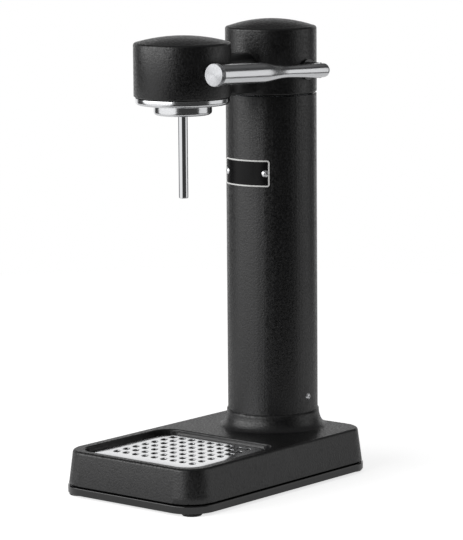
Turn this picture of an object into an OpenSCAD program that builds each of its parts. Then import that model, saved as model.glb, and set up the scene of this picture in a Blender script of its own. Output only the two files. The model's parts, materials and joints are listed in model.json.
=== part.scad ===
// Sparkling water maker: a flat base with a drip grille, a column that hides the gas cylinder,
// a head with a bottle socket and a nozzle, and a lever on the right-hand side.
// Millimetres, +Z up, front towards -Y, origin on the table under the middle of the base.

/* [Base] */
// Width of the bottom plate
base_w = 161.6; // [155:0.1:180]
// Depth of the bottom plate, front to back
base_l = 256.8; // [250:0.1:300]
// Corner radius of the bottom plate, seen from above
base_corner_r = 27; // [20:1:34]
// Height of the rubber feet
foot_h = 2.5; // [1.5:0.5:6]
// Diameter of the rubber feet
foot_d = 18; // [12:1:24]
// Distance from a foot's centre to the plate's edges
foot_margin = 15; // [13:1:20]
// Thickness of the bottom plate
plate_h = 7; // [5:0.2:9]
// Chamfer along the plate's edges
plate_edge = 0.9; // [0.3:0.1:1.5]
// Shadow line between the bottom plate and the sides of the base
shadow_gap = 1.5; // [0.5:0.1:3]
// Setback of the skirt behind the shadow line
shadow_depth = 2.5; // [1.5:0.1:3]
// Setback of the base's sides from the plate's edge
side_setback = 1; // [0.8:0.1:3]
// Lean of the base's sides, bottom to top
side_lean = 3.6; // [1:0.1:4.2]
// Height of the base's top face over the table
base_h = 41; // [37:0.1:50]
// Rounding of the base's top edge
base_edge_r = 2.6; // [1:0.1:3.2]
// Wall of the hollow base
base_wall = 3; // [2.4:0.1:4]
// Distance from a base screw to the plate's long edges
base_screw_side = 19.5; // [17:0.5:24]
// Distance from a base screw to the plate's front and back edges
base_screw_end = 37; // [32:1:44]
// Shank diameter of the base screws
base_screw_d = 3.8; // [3:0.1:4.5]

/* [Drip recess] */
// Width of the recess
recess_w = 131.5; // [112:0.5:134]
// Depth of the recess, front to back
recess_l = 120; // [114:0.2:124]
// Distance from the plate's front edge to the recess
front_rim = 13.4; // [13:0.2:20]
// Depth of the recess under the base's top face
recess_depth = 9.5; // [9:0.1:12]
// Corner radius of the recess
recess_corner_r = 16; // [12:0.5:20]
// Rounding of the recess's edge
recess_edge_r = 1.5; // [0.5:0.1:2.5]
// Gap between the grille and the recess's wall
grille_gap = 6.2; // [2:0.1:10]
// Depth of the grille's face under the base's top face
grille_drop = 3.5; // [1.5:0.1:5]
// Thickness of the grille's sheet
sheet_t = 1.2; // [0.8:0.1:2]
// Height of the grille's folded edge
grille_fold = 4; // [3:0.2:5]
// Diameter of the grille's holes
hole_d = 6.1; // [4:0.1:7]
// Spacing of the holes across the grille
hole_step_x = 11; // [9:0.1:11.5]
// Spacing of the holes front to back
hole_step_y = 12.8; // [9:0.1:13]
// Number of holes across the grille
hole_cols = 9; // [5:1:9]
// Number of holes front to back
hole_rows = 7; // [3:1:7]
// Shift of the field of holes towards the column
hole_shift = 6.4; // [0:0.1:7]
// Diameter of the rubber pads under the grille
pad_d = 9; // [6:0.5:12]
// Distance from a pad's centre to the grille's edges
pad_margin = 8; // [7.5:0.5:9]

/* [Column] */
// Outer diameter of the column
column_d = 82.6; // [78:0.1:88]
// Wall of the column
column_wall = 1.5; // [1:0.1:2.5]
// Length of the column above its collar
column_len = 290.4; // [260:0.2:320]
// Distance from the column's axis to the plate's back edge
column_back = 48.6; // [48.6:0.1:54]
// Height of the collar over the base's top face
collar_h = 15.5; // [12:0.1:20]
// Step of the collar outside the column
collar_step = 1; // [0.5:0.1:2]
// Spread of the collar's foot
collar_flare = 8.5; // [5:0.5:10]
// Height of the spigot inside the column
spigot_h = 28; // [24:1:40]
// Height of the column screws over the collar
column_screw_h = 14.8; // [12:0.2:20]
// Head diameter of the column screws
column_screw_head = 5.8; // [5:0.1:7]
// Shank diameter of the column screws
column_screw_d = 3.6; // [3:0.1:4.4]

/* [Badge] */
// Height of the bare badge plate
badge_h = 24; // [15:0.5:35]
// Angle that the badge spans round the column
badge_arc = 73; // [40:1:100]
// Distance from the column's top to the badge's top
badge_down = 57; // [30:0.2:90]
// Thickness of the badge
badge_t = 0.8; // [0.5:0.1:1.5]
// Corner radius of the badge
badge_corner_r = 2.2; // [1:0.1:4]
// Head diameter of the badge's screws
badge_screw_head = 6.2; // [5:0.1:7]
// Shank diameter of the badge's screws
badge_screw_d = 3; // [2.4:0.1:3.6]
// Distance from the badge's ends to its screws
badge_screw_in = 4; // [3.5:0.1:6]

/* [Head] */
// Gap between the column and the rear cap
head_gap = 1.5; // [0.8:0.1:3]
// How far the rear cap stands proud of the column
cap_over = 0.2; // [0.1:0.1:2]
// Height of the rear cap's wall
cap_wall_h = 57.2; // [50:0.1:65]
// Rise of the rear cap's dome
cap_dome_h = 6.5; // [5:0.5:10]
// Outer diameter of the front cup
cup_d = 86; // [84.5:0.1:92]
// Height of the front cup's wall
cup_wall_h = 45.5; // [42:0.5:55]
// Rise of the front cup's dome
cup_dome_h = 5.5; // [5:0.5:10]
// Height of the front cup's lower edge over the rear cap's
cup_lift = 4.4; // [3.6:0.1:8]
// Distance between the column's and the nozzle's axes
reach = 123.4; // [115:0.2:135]
// Rounding of the head's upper edges
head_edge_r = 2.5; // [1.5:0.1:4]
// Rounding of the front cup's lower edge
cup_lip_r = 1.2; // [0.5:0.1:2]
// Wall of the head's casting
head_wall = 2.5; // [2:0.1:3]
// Width of the neck
neck_w = 29; // [26:0.5:34]
// Height of the neck
neck_h = 35.2; // [31:0.1:38]
// Height of the neck's underside over the rear cap's lower edge
neck_lift = 2.7; // [2:0.1:5]
// Rounding of the neck's upper edges
neck_round = 10; // [6:0.5:12]
// Diameter of the screw posts inside the head
post_d = 7.4; // [6.6:0.1:8]

/* [Bottle side] */
// Outer diameter of the splash ring
splash_d = 83.6; // [76:0.1:84]
// Room over the splash ring's web for the screw heads
splash_room = 4; // [2.4:0.1:5]
// Thickness of the splash ring's web
splash_web = 2; // [1.5:0.1:2.2]
// Gap between the splash ring and the front cup
splash_gap = 0.5; // [0.3:0.1:1]
// Outer diameter of the bottle socket
socket_d = 51.6; // [48:0.1:54]
// Wall of the bottle socket
socket_wall = 3.5; // [2.5:0.1:4]
// Height of the bottle socket under the splash ring
socket_drop = 9.1; // [8:0.1:16]
// Thickness of the flanges that hold the socket and the nozzle body
flange_t = 2.5; // [2:0.1:3.5]
// Margin of those flanges outside their screws
flange_margin = 4.3; // [4:0.1:6]
// Reach of the socket's bottle lugs into the socket
lug_in = 2; // [1:0.1:2.5]
// Angle that one lug spans
lug_arc = 45; // [30:1:70]
// Diameter of the nozzle tube
nozzle_d = 8.5; // [7:0.1:10]
// Bore of the nozzle tube
nozzle_bore = 3; // [2:0.1:4]
// Length of the nozzle tube under the socket's mouth
nozzle_drop = 74; // [60:0.2:100]
// Thickness of the bottle's seal
seal_t = 3; // [2:0.1:4]
// Hole through the bottle's seal
seal_hole = 12; // [11:0.5:16]

/* [Lever] */
// Distance from the rear cap's side to the lever's axis
lever_out = 15; // [14:0.1:20]
// Height of the axle over the rear cap's lower edge
axle_h = 21.8; // [21.5:0.1:26]
// Length of the lever in front of its axle
lever_len = 148.4; // [120:0.2:170]
// Length of the lever behind its axle
lever_tail = 10.4; // [9:0.2:16]
// Upward slope of the lever at rest
lever_tilt = 2.3; // [0:0.1:8]
// Diameter of the grip
grip_d = 18; // [15:0.1:19]
// Length of the grip, with its end
grip_len = 72; // [50:1:80]
// Length of the taper behind the grip
taper_len = 29; // [15:1:35]
// Diameter of the lever's waist
waist_d = 10.9; // [10.5:0.1:13]
// Diameter of the lever at its axle
tail_d = 12.8; // [12:0.1:16]
// Diameter of the turned end
end_d = 19.7; // [16:0.1:20]
// Length of the turned end
end_len = 5; // [3:0.1:8]
// Width of the groove behind the turned end
end_groove = 0.8; // [0.4:0.1:1.5]
// Diameter of the boss that carries the lever
boss_d = 14; // [12:0.5:16]
// Diameter of the flange round the axle
axle_flange_d = 18.5; // [15:0.5:22]
// Thickness of that flange
axle_flange_t = 2.2; // [1.5:0.1:3]
// Diameter of the axle
axle_d = 8; // [6:0.1:8.4]
// Largest swing of the lever, in degrees
lever_swing = 35; // [20:1:38]
// Plunger stroke for one radian of the lever
cam_rise = 5; // [3:0.1:5.5]
// Distance from the axle to the plunger at rest
cam_base = 7; // [6.9:0.1:7.5]
// Width of the cam
cam_w = 8; // [6:0.5:10]

/* [Gas valve] */
// Diameter of the valve block
block_d = 44; // [42:0.5:50]
// Height of the valve block
block_h = 34; // [30:0.5:40]
// Thread diameter of the cylinder's valve
thread_d = 21; // [18:0.5:24]
// Length of thread in the block
thread_len = 14; // [10:0.5:16]
// Diameter of the plunger's rod
plunger_d = 5; // [4:0.1:6]
// Diameter of the plunger's head
plunger_head = 17; // [15:0.5:18]
// Thickness of the plunger's head
plunger_head_t = 3; // [2:0.1:3.2]
// Diameter of the valve pin
pin_d = 3; // [2.5:0.1:3.4]
// Outer diameter of the gas hose
hose_d = 6; // [4.5:0.1:6.5]
// Bore of the gas hose
hose_bore = 3; // [2:0.1:3.5]
// Bend radius of the gas hose
hose_bend = 10; // [9:0.5:11]
// Lift of the relief valve's poppet
relief_lift = 1.5; // [1:0.1:2.5]

/* [Gas cylinder] */
// Diameter of the gas cylinder
cylinder_d = 60; // [54:0.5:60]
// Wall of the gas cylinder
cylinder_wall = 3.2; // [2.5:0.1:4]
// Height of the cylinder's shoulder
shoulder_h = 30; // [24:1:36]
// Height of the cylinder's valve
cyl_valve_h = 35; // [33:0.5:40]
// Distance from the plate's underside to the cylinder's end
cylinder_end = 3.5; // [2:0.5:6]

/* [Clearances] */
// Radial running clearance of a shaft in its hole
run_gap = 0.05; // [0.03:0.01:0.09]
// Gap between a loose piece and its seat
seat_gap = 0.3; // [0.2:0.05:0.4]
// Gap between pieces that press on each other
touch_gap = 0.15; // [0.1:0.05:0.2]

/* [Hidden] */

$fn = 96;
eps = 0.02;
coat = "#343434";
steel = "#c9cbcd";
brass = "#b8954a";
rubber = "#1c1c1c";
plastic = "#55585c";

// Heights, from the table up
z_plate = foot_h;
z_skirt = z_plate + plate_h;
z_side = z_skirt + shadow_gap;
z_top = base_h;
z_floor = z_top - recess_depth;
z_under = z_floor - base_wall;
z_roof = z_top - base_wall;
z_seat = z_top + collar_h;
z_col = z_seat + column_len;
z_cap = z_col + head_gap;
z_axle = z_cap + axle_h;
z_cup = z_cap + cup_lift;
z_neck = z_cap + neck_lift;
z_cap_wall = z_cap + cap_wall_h;
z_cup_wall = z_cup + cup_wall_h;

// Places in plan
column_y = base_l / 2 - column_back;
cup_y = column_y - reach;
recess_y0 = -base_l / 2 + front_rim;
recess_y = recess_y0 + recess_l / 2;

// Radii of the column and what fits in it
column_r = column_d / 2;
column_in = column_r - column_wall;
cap_r = column_r + cap_over;
cap_in = cap_r - head_wall;
cup_r = cup_d / 2;
cup_in = cup_r - head_wall;
socket_r = socket_d / 2;
socket_in = socket_r - socket_wall;
post_r = post_d / 2;
lever_x = cap_r + lever_out;

// The port that the cylinder passes through, and the spigot that carries the column
port_gap = 3;
port_step = 1;
port_r = cylinder_d / 2 + port_gap;
spigot_r = column_in - seat_gap;
spigot_in = port_r + port_step;

// Screws share these shapes
pilot_gap = 0.05;
head_over = 1.9;
head_high = 2.3;
thread_in = 10;
hex_d = 2.9;
hex_deep = 1.4;

// How far a cut runs past the face that it opens
past = 1;

// Springs are wound from one wire
wire_r = 0.5;
coil_gap = 0.75;
coil_turns = 5;

// Outline helpers

// Points on an arc, in degrees
function arc(cx, cy, r, from, to, steps) =
    [for (i = [0:steps]) let (a = from + (to - from) * i / steps) [cx + r * cos(a), cy + r * sin(a)]];

// Points on a shallow dome from its rim to its top, for turning about the vertical axis
function dome(rim, z, rise, steps) =
    let (r = (rim * rim + rise * rise) / (2 * rise), open = asin(rim / r))
    [for (i = [0:steps]) let (a = open * (1 - i / steps)) [r * sin(a), z + rise - r + r * cos(a)]];

function flipped(points) = [for (i = [len(points) - 1:-1:0]) points[i]];

function widened(half, profile) =
    concat([for (p = profile) [half - p[0], p[1]]], [for (p = flipped(profile)) [p[0] - half, p[1]]]);

function cornered(r, profile) =
    concat([[0, profile[0][1]]], [for (p = profile) [r - p[0], p[1]]], [[0, profile[len(profile) - 1][1]]]);

// Straight sides from one height to another
function upright(low, high) = [[0, low], [0, high]];

// A block with round corners in plan, whose sides follow a profile of [inset, height] points
module soft_block(w, l, r, profile) {
    rotate([90, 0, 0]) linear_extrude(l - 2 * r, center = true) polygon(widened(w / 2, profile));
    for (end = [0, 1]) mirror([0, end, 0]) {
        translate([0, l / 2 - r, 0]) rotate([90, 0, 90])
            linear_extrude(w - 2 * r, center = true) polygon(cornered(r, profile));
        for (side = [0, 1]) mirror([side, 0, 0]) translate([w / 2 - r, l / 2 - r, 0])
            rotate_extrude(angle = 90) polygon(cornered(r, profile));
    }
}

module at_column() translate([0, column_y, 0]) children();
module at_cup() translate([0, cup_y, 0]) children();

// A cylinder along X, from one place to another, on the axle's line
module along_axle(x0, x1, r)
    translate([x0, column_y, z_axle]) rotate([0, 90, 0]) cylinder(h = x1 - x0, r = r);

// A round wire wound into a helix that climbs along Z
module coil(r, wire, turns, low, high) {
    sides = 6;
    rings = 12;
    last = turns * rings;
    pitch = (high - low - 2 * wire) / turns;
    points = [for (i = [0:last]) for (s = [0:sides - 1])
        let (turn = 360 * i / rings, tilt = 360 * s / sides, out = r + wire * cos(tilt))
        [out * cos(turn), out * sin(turn), low + wire + pitch * i / rings + wire * sin(tilt)]];
    function at(i, s) = i * sides + s % sides;
    wall = [for (i = [0:last - 1]) for (s = [0:sides - 1]) for (half = [0, 1])
        half == 0 ? [at(i, s), at(i, s + 1), at(i + 1, s)] : [at(i, s + 1), at(i + 1, s + 1), at(i + 1, s)]];
    first_end = [for (s = [1:sides - 2]) [at(0, 0), at(0, s + 1), at(0, s)]];
    last_end = [for (s = [1:sides - 2]) [at(last, 0), at(last, s), at(last, s + 1)]];
    polyhedron(points, concat(wall, first_end, last_end));
}

// A pan-head screw with a hex socket, which points up from its head's top face at height z
module screw_up(z, d, long) difference() {
    union() {
        translate([0, 0, z]) cylinder(h = long, d = d);
        translate([0, 0, z - head_high]) cylinder(h = head_high, d1 = d + head_over, d2 = d + 2 * head_over);
    }
    translate([0, 0, z - head_high - past]) cylinder(h = hex_deep + past, d = hex_d, $fn = 6);
}

module screw_down(z, d, long) translate([0, 0, z]) mirror([0, 0, 1]) screw_up(0, d, long);

domed_rise = 1.45;

// A domed screw with a hex socket, whose head sits at height 0 and whose shank points down
module domed_screw(head, d, long) difference() {
    union() {
        translate([0, 0, -long]) cylinder(h = long, d = d);
        rotate_extrude() polygon(concat([[0, 0]], dome(head / 2, 0, domed_rise, 6)));
    }
    translate([0, 0, domed_rise - hex_deep]) cylinder(h = hex_deep + past, d = hex_d, $fn = 6);
}

// Base

base_post_wall = 3;
base_post_d = base_screw_d + 2 * base_post_wall;
skirt_inset = side_setback + shadow_depth;
base_flat = side_setback + side_lean + base_edge_r;
base_inner = side_setback + side_lean + base_wall;
base_screw_places = [for (sx = [-1, 1]) for (sy = [-1, 1])
    [sx * (base_w / 2 - base_screw_side), sy * (base_l / 2 - base_screw_end)]];
side_profile = concat([[0, z_side]], [for (p = arc(0, 0, base_edge_r, 0, 90, 6))
    [side_lean + base_edge_r - p[0], z_top - base_edge_r + p[1]]]);
recess_profile = concat([[0, z_floor]], [for (p = arc(0, 0, recess_edge_r, 0, 90, 6))
    [p[0] - recess_edge_r, z_top - recess_edge_r + p[1]]], [[-recess_edge_r, z_top + past]]);
collar_r = column_r + collar_step;
throat_r = spigot_in + base_wall + port_step;
collar_profile = concat(
    [[spigot_in, z_skirt], [throat_r, z_skirt], [throat_r, z_roof + eps],
        [collar_r + collar_flare, z_roof + eps]],
    [for (t = [90:-10:0]) [collar_r + collar_flare - collar_flare * cos(t), z_seat - collar_h * sin(t)]],
    [[spigot_r, z_seat], [spigot_r, z_seat + spigot_h], [spigot_in, z_seat + spigot_h]]);

module base_hollow() {
    lower_w = base_w - 2 * base_inner;
    lower_l = base_l - 2 * base_inner;
    rear_y = recess_y0 + recess_l + base_wall;
    rear_l = base_l / 2 - base_inner - rear_y;
    rear_r = base_corner_r - base_inner;
    soft_block(lower_w, lower_l, rear_r, upright(z_skirt - past, z_under));
    translate([0, rear_y + rear_l / 2, 0])
        soft_block(lower_w, rear_l, rear_r, upright(z_under - past, z_roof));
}

module base_body() color(coat) difference() {
    union() {
        difference() {
            union() {
                soft_block(base_w - 2 * side_setback, base_l - 2 * side_setback,
                    base_corner_r - side_setback, side_profile);
                soft_block(base_w - 2 * skirt_inset, base_l - 2 * skirt_inset,
                    base_corner_r - skirt_inset, upright(z_skirt, z_side + past));
            }
            base_hollow();
            at_column() translate([0, 0, z_skirt]) cylinder(h = z_seat, r = spigot_in);
        }
        intersection() {
            at_column() rotate_extrude() polygon(collar_profile);
            soft_block(base_w - 2 * base_flat, base_l - 2 * base_flat, base_corner_r - base_flat,
                upright(z_skirt, z_seat + spigot_h));
        }
        for (p = base_screw_places) translate([p[0], p[1], z_skirt])
            cylinder(h = (p[1] > 0 ? z_roof : z_under) + past - z_skirt, d = base_post_d);
    }
    translate([0, recess_y, 0]) soft_block(recess_w, recess_l, recess_corner_r, recess_profile);
    for (p = base_screw_places) translate([p[0], p[1], z_skirt - past])
        cylinder(h = thread_in + 2 * past, d = base_screw_d + 2 * pilot_gap);
    translate([-column_d / 2, column_y, z_seat + column_screw_h]) rotate([0, 90, 0])
        cylinder(h = column_d, d = column_screw_d + 2 * pilot_gap);
}

module base_plate() color(coat) difference() {
    soft_block(base_w, base_l, base_corner_r, concat(
        [for (p = arc(0, 0, plate_edge, -90, 0, 4)) [plate_edge - p[0], z_plate + plate_edge + p[1]]],
        [for (p = arc(0, 0, plate_edge, 0, 90, 4)) [plate_edge - p[0], z_skirt - plate_edge + p[1]]]));
    at_column() translate([0, 0, z_plate - past]) cylinder(h = plate_h + 2 * past, r = port_r);
    for (p = base_screw_places) translate([p[0], p[1], z_plate - past]) {
        cylinder(h = plate_h + 2 * past, d = base_screw_d + 2 * seat_gap);
        cylinder(h = head_high + past + seat_gap, d = base_screw_d + 2 * head_over + 2 * seat_gap);
    }
}

module rubber_feet() color(rubber)
    for (sx = [-1, 1]) for (sy = [-1, 1])
        translate([sx * (base_w / 2 - foot_margin), sy * (base_l / 2 - foot_margin), 0])
            rotate_extrude() polygon([[0, 0], [foot_d / 2 - foot_h / 3, 0], [foot_d / 2, foot_h / 3],
                [foot_d / 2, foot_h], [0, foot_h]]);

module base_screws() color(steel)
    for (p = base_screw_places) translate([p[0], p[1], 0])
        screw_up(z_plate + head_high + seat_gap, base_screw_d, thread_in + plate_h - head_high - seat_gap);

// Drip grille

grille_w = recess_w - 2 * grille_gap;
grille_l = recess_l - 2 * grille_gap;
grille_r = recess_corner_r - grille_gap / 2;
z_grille = z_top - grille_drop;

module drip_grille() color(steel) translate([0, recess_y, 0]) difference() {
    soft_block(grille_w, grille_l, grille_r, concat([[0, z_grille - grille_fold]],
        [for (p = arc(0, 0, sheet_t, 0, 90, 4)) [sheet_t - p[0], z_grille - sheet_t + p[1]]]));
    soft_block(grille_w - 2 * sheet_t, grille_l - 2 * sheet_t, grille_r - sheet_t,
        upright(z_grille - grille_fold - past, z_grille - sheet_t));
    for (i = [0:hole_cols - 1]) for (j = [0:hole_rows - 1])
        translate([(i - (hole_cols - 1) / 2) * hole_step_x,
            hole_shift + (j - (hole_rows - 1) / 2) * hole_step_y, z_grille - sheet_t - past])
            cylinder(h = sheet_t + 2 * past, d = hole_d, $fn = 32);
}

module grille_pads() color(rubber)
    for (sx = [-1, 1]) for (sy = [-1, 1])
        translate([sx * (grille_w / 2 - pad_margin), recess_y + sy * (grille_l / 2 - pad_margin),
            z_floor + touch_gap])
            cylinder(h = z_grille - sheet_t - z_floor - touch_gap, d = pad_d);

// Column

module column_tube() color(coat) difference() {
    at_column() translate([0, 0, z_seat]) cylinder(h = column_len, r = column_r);
    at_column() translate([0, 0, z_seat - past]) cylinder(h = column_len + 2 * past, r = column_in);
    translate([-column_d, column_y, z_seat + column_screw_h]) rotate([0, 90, 0])
        cylinder(h = 2 * column_d, d = column_screw_d + 2 * seat_gap);
    at_badge_screws() cylinder(h = badge_r, d = badge_screw_d + 2 * pilot_gap);
}

// The screws' domed heads sit on the tube; their shanks reach through the spigot
module column_screws() color(steel)
    for (side = [0, 1]) mirror([side, 0, 0])
        translate([column_r, column_y, z_seat + column_screw_h]) rotate([0, 90, 0])
            domed_screw(column_screw_head, column_screw_d, column_r - spigot_in);

// The badge is a plate bent round the column, with a screw near each end
badge_r = column_r + badge_t;
badge_w = 2 * badge_r * sin(badge_arc / 2);
z_badge = z_col - badge_down - badge_h;
badge_screw_turn = badge_arc / 2 - badge_screw_in / badge_r * 180 / PI;

module at_badge_screws()
    for (turn = [-badge_screw_turn, badge_screw_turn])
        translate([0, column_y, z_badge + badge_h / 2]) rotate([90, 0, turn]) children();

module badge_plate() color("#101010") difference() {
    intersection() {
        at_column() translate([0, 0, z_badge - past]) difference() {
            cylinder(h = badge_h + 2 * past, r = badge_r);
            translate([0, 0, -past]) cylinder(h = badge_h + 4 * past, r = column_r + pilot_gap);
        }
        translate([0, column_y, z_badge + badge_h / 2]) rotate([90, 0, 0])
            soft_block(badge_w, badge_h, badge_corner_r, upright(column_r / 2, badge_r + past));
    }
    at_badge_screws() cylinder(h = badge_r + past, d = badge_screw_d + 2 * seat_gap);
}

module badge_screws() color(steel)
    at_badge_screws() translate([0, 0, badge_r])
        domed_screw(badge_screw_head, badge_screw_d, badge_t + column_wall);

ring_skirt = 16;
ring_wall = 3;
ring_rise = 7;
ring_flange_t = 4;
ring_lip = 0.8;
ring_overlap = 2;
ring_hole_r = block_d / 2 - ring_overlap;
z_flange = z_cap + ring_rise;
z_hang = z_flange - ring_flange_t;

// Screws through the ring's flange: up into the cap's posts, down into the valve block, and
// down through the bracket's feet
head_screw_d = 3;
post_gap = 2.8;
head_screw_r = cap_in - post_r - post_gap;
head_screw_places = [for (a = [60, 180, 300]) [head_screw_r * cos(a), head_screw_r * sin(a)]];
valve_screw_d = 3;
block_flange_r = head_screw_r - head_screw_d / 2 - head_over - seat_gap;
valve_screw_r = (ring_hole_r + block_flange_r) / 2;
valve_screw_places = [for (a = [90, 215, 325]) [valve_screw_r * cos(a), valve_screw_r * sin(a)]];
bracket_half = 15;
bracket_t = 3;
bracket_depth = 13;
foot_reach = 9;
foot_y = 8;
bracket_screw_d = 2.5;
bracket_screw_places = [for (sx = [-1, 1]) [sx * (bracket_half + bracket_t + foot_reach / 2), foot_y]];

module column_ring() color(steel) at_column() difference() {
    rotate_extrude() polygon([[column_in - seat_gap - ring_wall, z_col - ring_skirt],
        [column_in - seat_gap, z_col - ring_skirt], [column_in - seat_gap, z_col],
        [column_r - ring_lip, z_col], [column_r - ring_lip, z_cap], [cap_in - seat_gap, z_cap],
        [cap_in - seat_gap, z_flange], [ring_hole_r, z_flange], [ring_hole_r, z_hang],
        [column_in - seat_gap - ring_wall, z_hang]]);
    for (p = head_screw_places) translate([p[0], p[1], z_hang - past])
        cylinder(h = ring_flange_t + 2 * past, d = head_screw_d + 2 * seat_gap);
    for (p = valve_screw_places) translate([p[0], p[1], z_hang - past])
        cylinder(h = ring_flange_t + 2 * past, d = valve_screw_d + 2 * seat_gap);
    for (p = bracket_screw_places) translate([p[0], p[1], z_hang - past])
        cylinder(h = ring_flange_t + 2 * past, d = bracket_screw_d + 2 * pilot_gap);
}

guide_up = 200;
guide_h = 12;
guide_gap = 0.6;

module cylinder_guide() color(plastic) at_column()
    translate([0, 0, z_seat + guide_up]) difference() {
        cylinder(h = guide_h, r = column_in - seat_gap);
        translate([0, 0, -past]) cylinder(h = guide_h + 2 * past, r = cylinder_d / 2 + guide_gap);
    }

// Head casting

cup_screw_d = 3;
cup_screw_r = socket_r + cup_screw_d / 2 + head_over + seat_gap;
flange_r = cup_screw_r + flange_margin;
cup_screw_places = [for (a = [30, 150, 270]) [cup_screw_r * cos(a), cup_screw_r * sin(a)]];
sleeve_wall = 2;
sleeve_r = axle_d / 2 + sleeve_wall;
z_splash_top = z_cup - splash_gap;
z_body_flange = z_splash_top + flange_t;
body_flange_t = 4;
z_body = z_body_flange + body_flange_t;

function vessel(r, lip, z0, z1, edge, rise) = concat(
    [[0, z0], [r - lip, z0], [r, z0 + lip]],
    arc(r - edge, z1, edge, 0, 90, 5),
    dome(r - edge, z1 + edge, rise, 10));

function neck_outline(half, low, high, round) = concat(
    [[-half, low], [half, low]], arc(half - round, high - round, round, 0, 90, 6),
    arc(round - half, high - round, round, 90, 180, 6));

// The neck runs between the two round vessels and stops short of the splash ring
module neck_bar(inset)
    translate([0, column_y, 0]) rotate([90, 0, 0]) linear_extrude(reach)
        polygon(neck_outline(neck_w / 2 - inset, z_neck + inset, z_neck + neck_h - inset,
            neck_round - inset));

module head_outside() {
    difference() {
        neck_bar(0);
        at_cup() translate([0, 0, z_cup - cup_lift - past]) cylinder(h = cup_lift + 2 * past, r = cup_r);
    }
    at_column() rotate_extrude()
        polygon(vessel(cap_r, plate_edge, z_cap, z_cap_wall, head_edge_r, cap_dome_h));
    at_cup() rotate_extrude()
        polygon(vessel(cup_r, cup_lip_r, z_cup, z_cup_wall, head_edge_r, cup_dome_h));
}

module head_hollow() difference() {
    union() {
        at_column() rotate_extrude()
            polygon(concat([[0, z_cap - past], [cap_in, z_cap - past]],
                dome(cap_in, z_cap_wall, cap_dome_h, 10)));
        at_cup() rotate_extrude()
            polygon(concat([[0, z_cup - past], [cup_in, z_cup - past]],
                dome(cup_in, z_cup_wall, cup_dome_h, 10)));
        intersection() {
            neck_bar(head_wall);
            translate([-neck_w, cup_y, z_cup + head_wall]) cube([2 * neck_w, reach, neck_h]);
        }
    }
    for (p = head_screw_places) at_column() translate([p[0], p[1], z_flange])
        cylinder(h = cap_wall_h, r = post_r);
    for (p = cup_screw_places) at_cup() translate([p[0], p[1], z_body])
        cylinder(h = cup_wall_h, r = post_r);
}

module head_shell() color(coat) difference() {
    head_outside();
    head_hollow();
    for (p = head_screw_places) at_column() translate([p[0], p[1], z_flange - past])
        cylinder(h = thread_in + 2 * past, d = head_screw_d + 2 * pilot_gap);
    for (p = cup_screw_places) at_cup() translate([p[0], p[1], z_body - past])
        cylinder(h = thread_in + 2 * past, d = cup_screw_d + 2 * pilot_gap);
    along_axle(cap_in - head_wall, cap_r + head_wall, sleeve_r + pilot_gap);
}

module head_screws() color(steel) at_column()
    for (p = head_screw_places) translate([p[0], p[1], 0])
        screw_up(z_hang, head_screw_d, ring_flange_t + thread_in);

// Bottle side

z_splash = z_splash_top - splash_room - splash_web;
z_mouth = z_splash - socket_drop;
z_tip = z_mouth - nozzle_drop;
z_seal = z_splash + splash_web;
nozzle_r = nozzle_d / 2;
nozzle_in = 8;
hose_over_axle = 1;
z_hose = z_axle + hose_over_axle;
barrel_d = 24;
barrel_over_hose = 10;
z_barrel = z_hose + barrel_over_hose;
inlet_out = 15;
inlet_boss_d = 12;
mouth_edge = 1;
lug_up = 2;
lug_h = 3;
tip_edge = 0.6;
z_lug = z_mouth + lug_up;

module splash_ring() color(steel) at_cup() rotate_extrude() polygon(concat(
    [[socket_r + run_gap, z_splash]],
    arc(splash_d / 2 - splash_web, z_splash + splash_web, splash_web, -90, 0, 6),
    [[splash_d / 2, z_splash_top], [splash_d / 2 - splash_web, z_splash_top],
        [splash_d / 2 - splash_web, z_splash + splash_web], [socket_r + run_gap, z_splash + splash_web]]));

module bottle_socket() color(steel) at_cup() difference() {
    union() {
        rotate_extrude() polygon([[socket_in, z_mouth + mouth_edge], [socket_in + mouth_edge, z_mouth],
            [socket_r - mouth_edge, z_mouth], [socket_r, z_mouth + mouth_edge],
            [socket_r, z_splash_top], [flange_r, z_splash_top],
            [flange_r, z_body_flange], [socket_in, z_body_flange]]);
        for (a = [0, 120, 240]) rotate([0, 0, a]) rotate_extrude(angle = lug_arc)
            polygon([[socket_in - lug_in, z_lug + mouth_edge], [socket_in + mouth_edge, z_lug],
                [socket_in + mouth_edge, z_lug + lug_h], [socket_in - lug_in, z_lug + lug_h - mouth_edge]]);
    }
    for (p = cup_screw_places) translate([p[0], p[1], z_splash_top - past])
        cylinder(h = flange_t + 2 * past, d = cup_screw_d + 2 * seat_gap);
}

module bottle_seal() color(rubber) at_cup() translate([0, 0, z_seal - seal_t]) difference() {
    cylinder(h = seal_t, r = socket_in - seat_gap);
    translate([0, 0, -past]) cylinder(h = seal_t + 2 * past, d = seal_hole);
}

module nozzle_body() color(brass) at_cup() difference() {
    union() {
        translate([0, 0, z_seal]) cylinder(h = z_body_flange + past - z_seal, r = socket_in - seat_gap);
        translate([0, 0, z_body_flange]) cylinder(h = z_body - z_body_flange, r = flange_r);
        translate([0, 0, z_body - past]) cylinder(h = z_barrel - z_body + past, d = barrel_d);
        translate([0, 0, z_hose]) rotate([-90, 0, 0]) cylinder(h = inlet_out, d = inlet_boss_d);
    }
    translate([0, 0, z_seal - past]) cylinder(h = nozzle_in + past, r = nozzle_r + run_gap);
    translate([0, 0, z_seal]) cylinder(h = z_barrel, d = nozzle_bore);
    translate([0, 0, z_hose]) rotate([-90, 0, 0]) cylinder(h = inlet_out + past, d = hose_bore);
    for (p = cup_screw_places) translate([p[0], p[1], z_body_flange - past])
        cylinder(h = z_body - z_body_flange + 2 * past, d = cup_screw_d + 2 * seat_gap);
}

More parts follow.
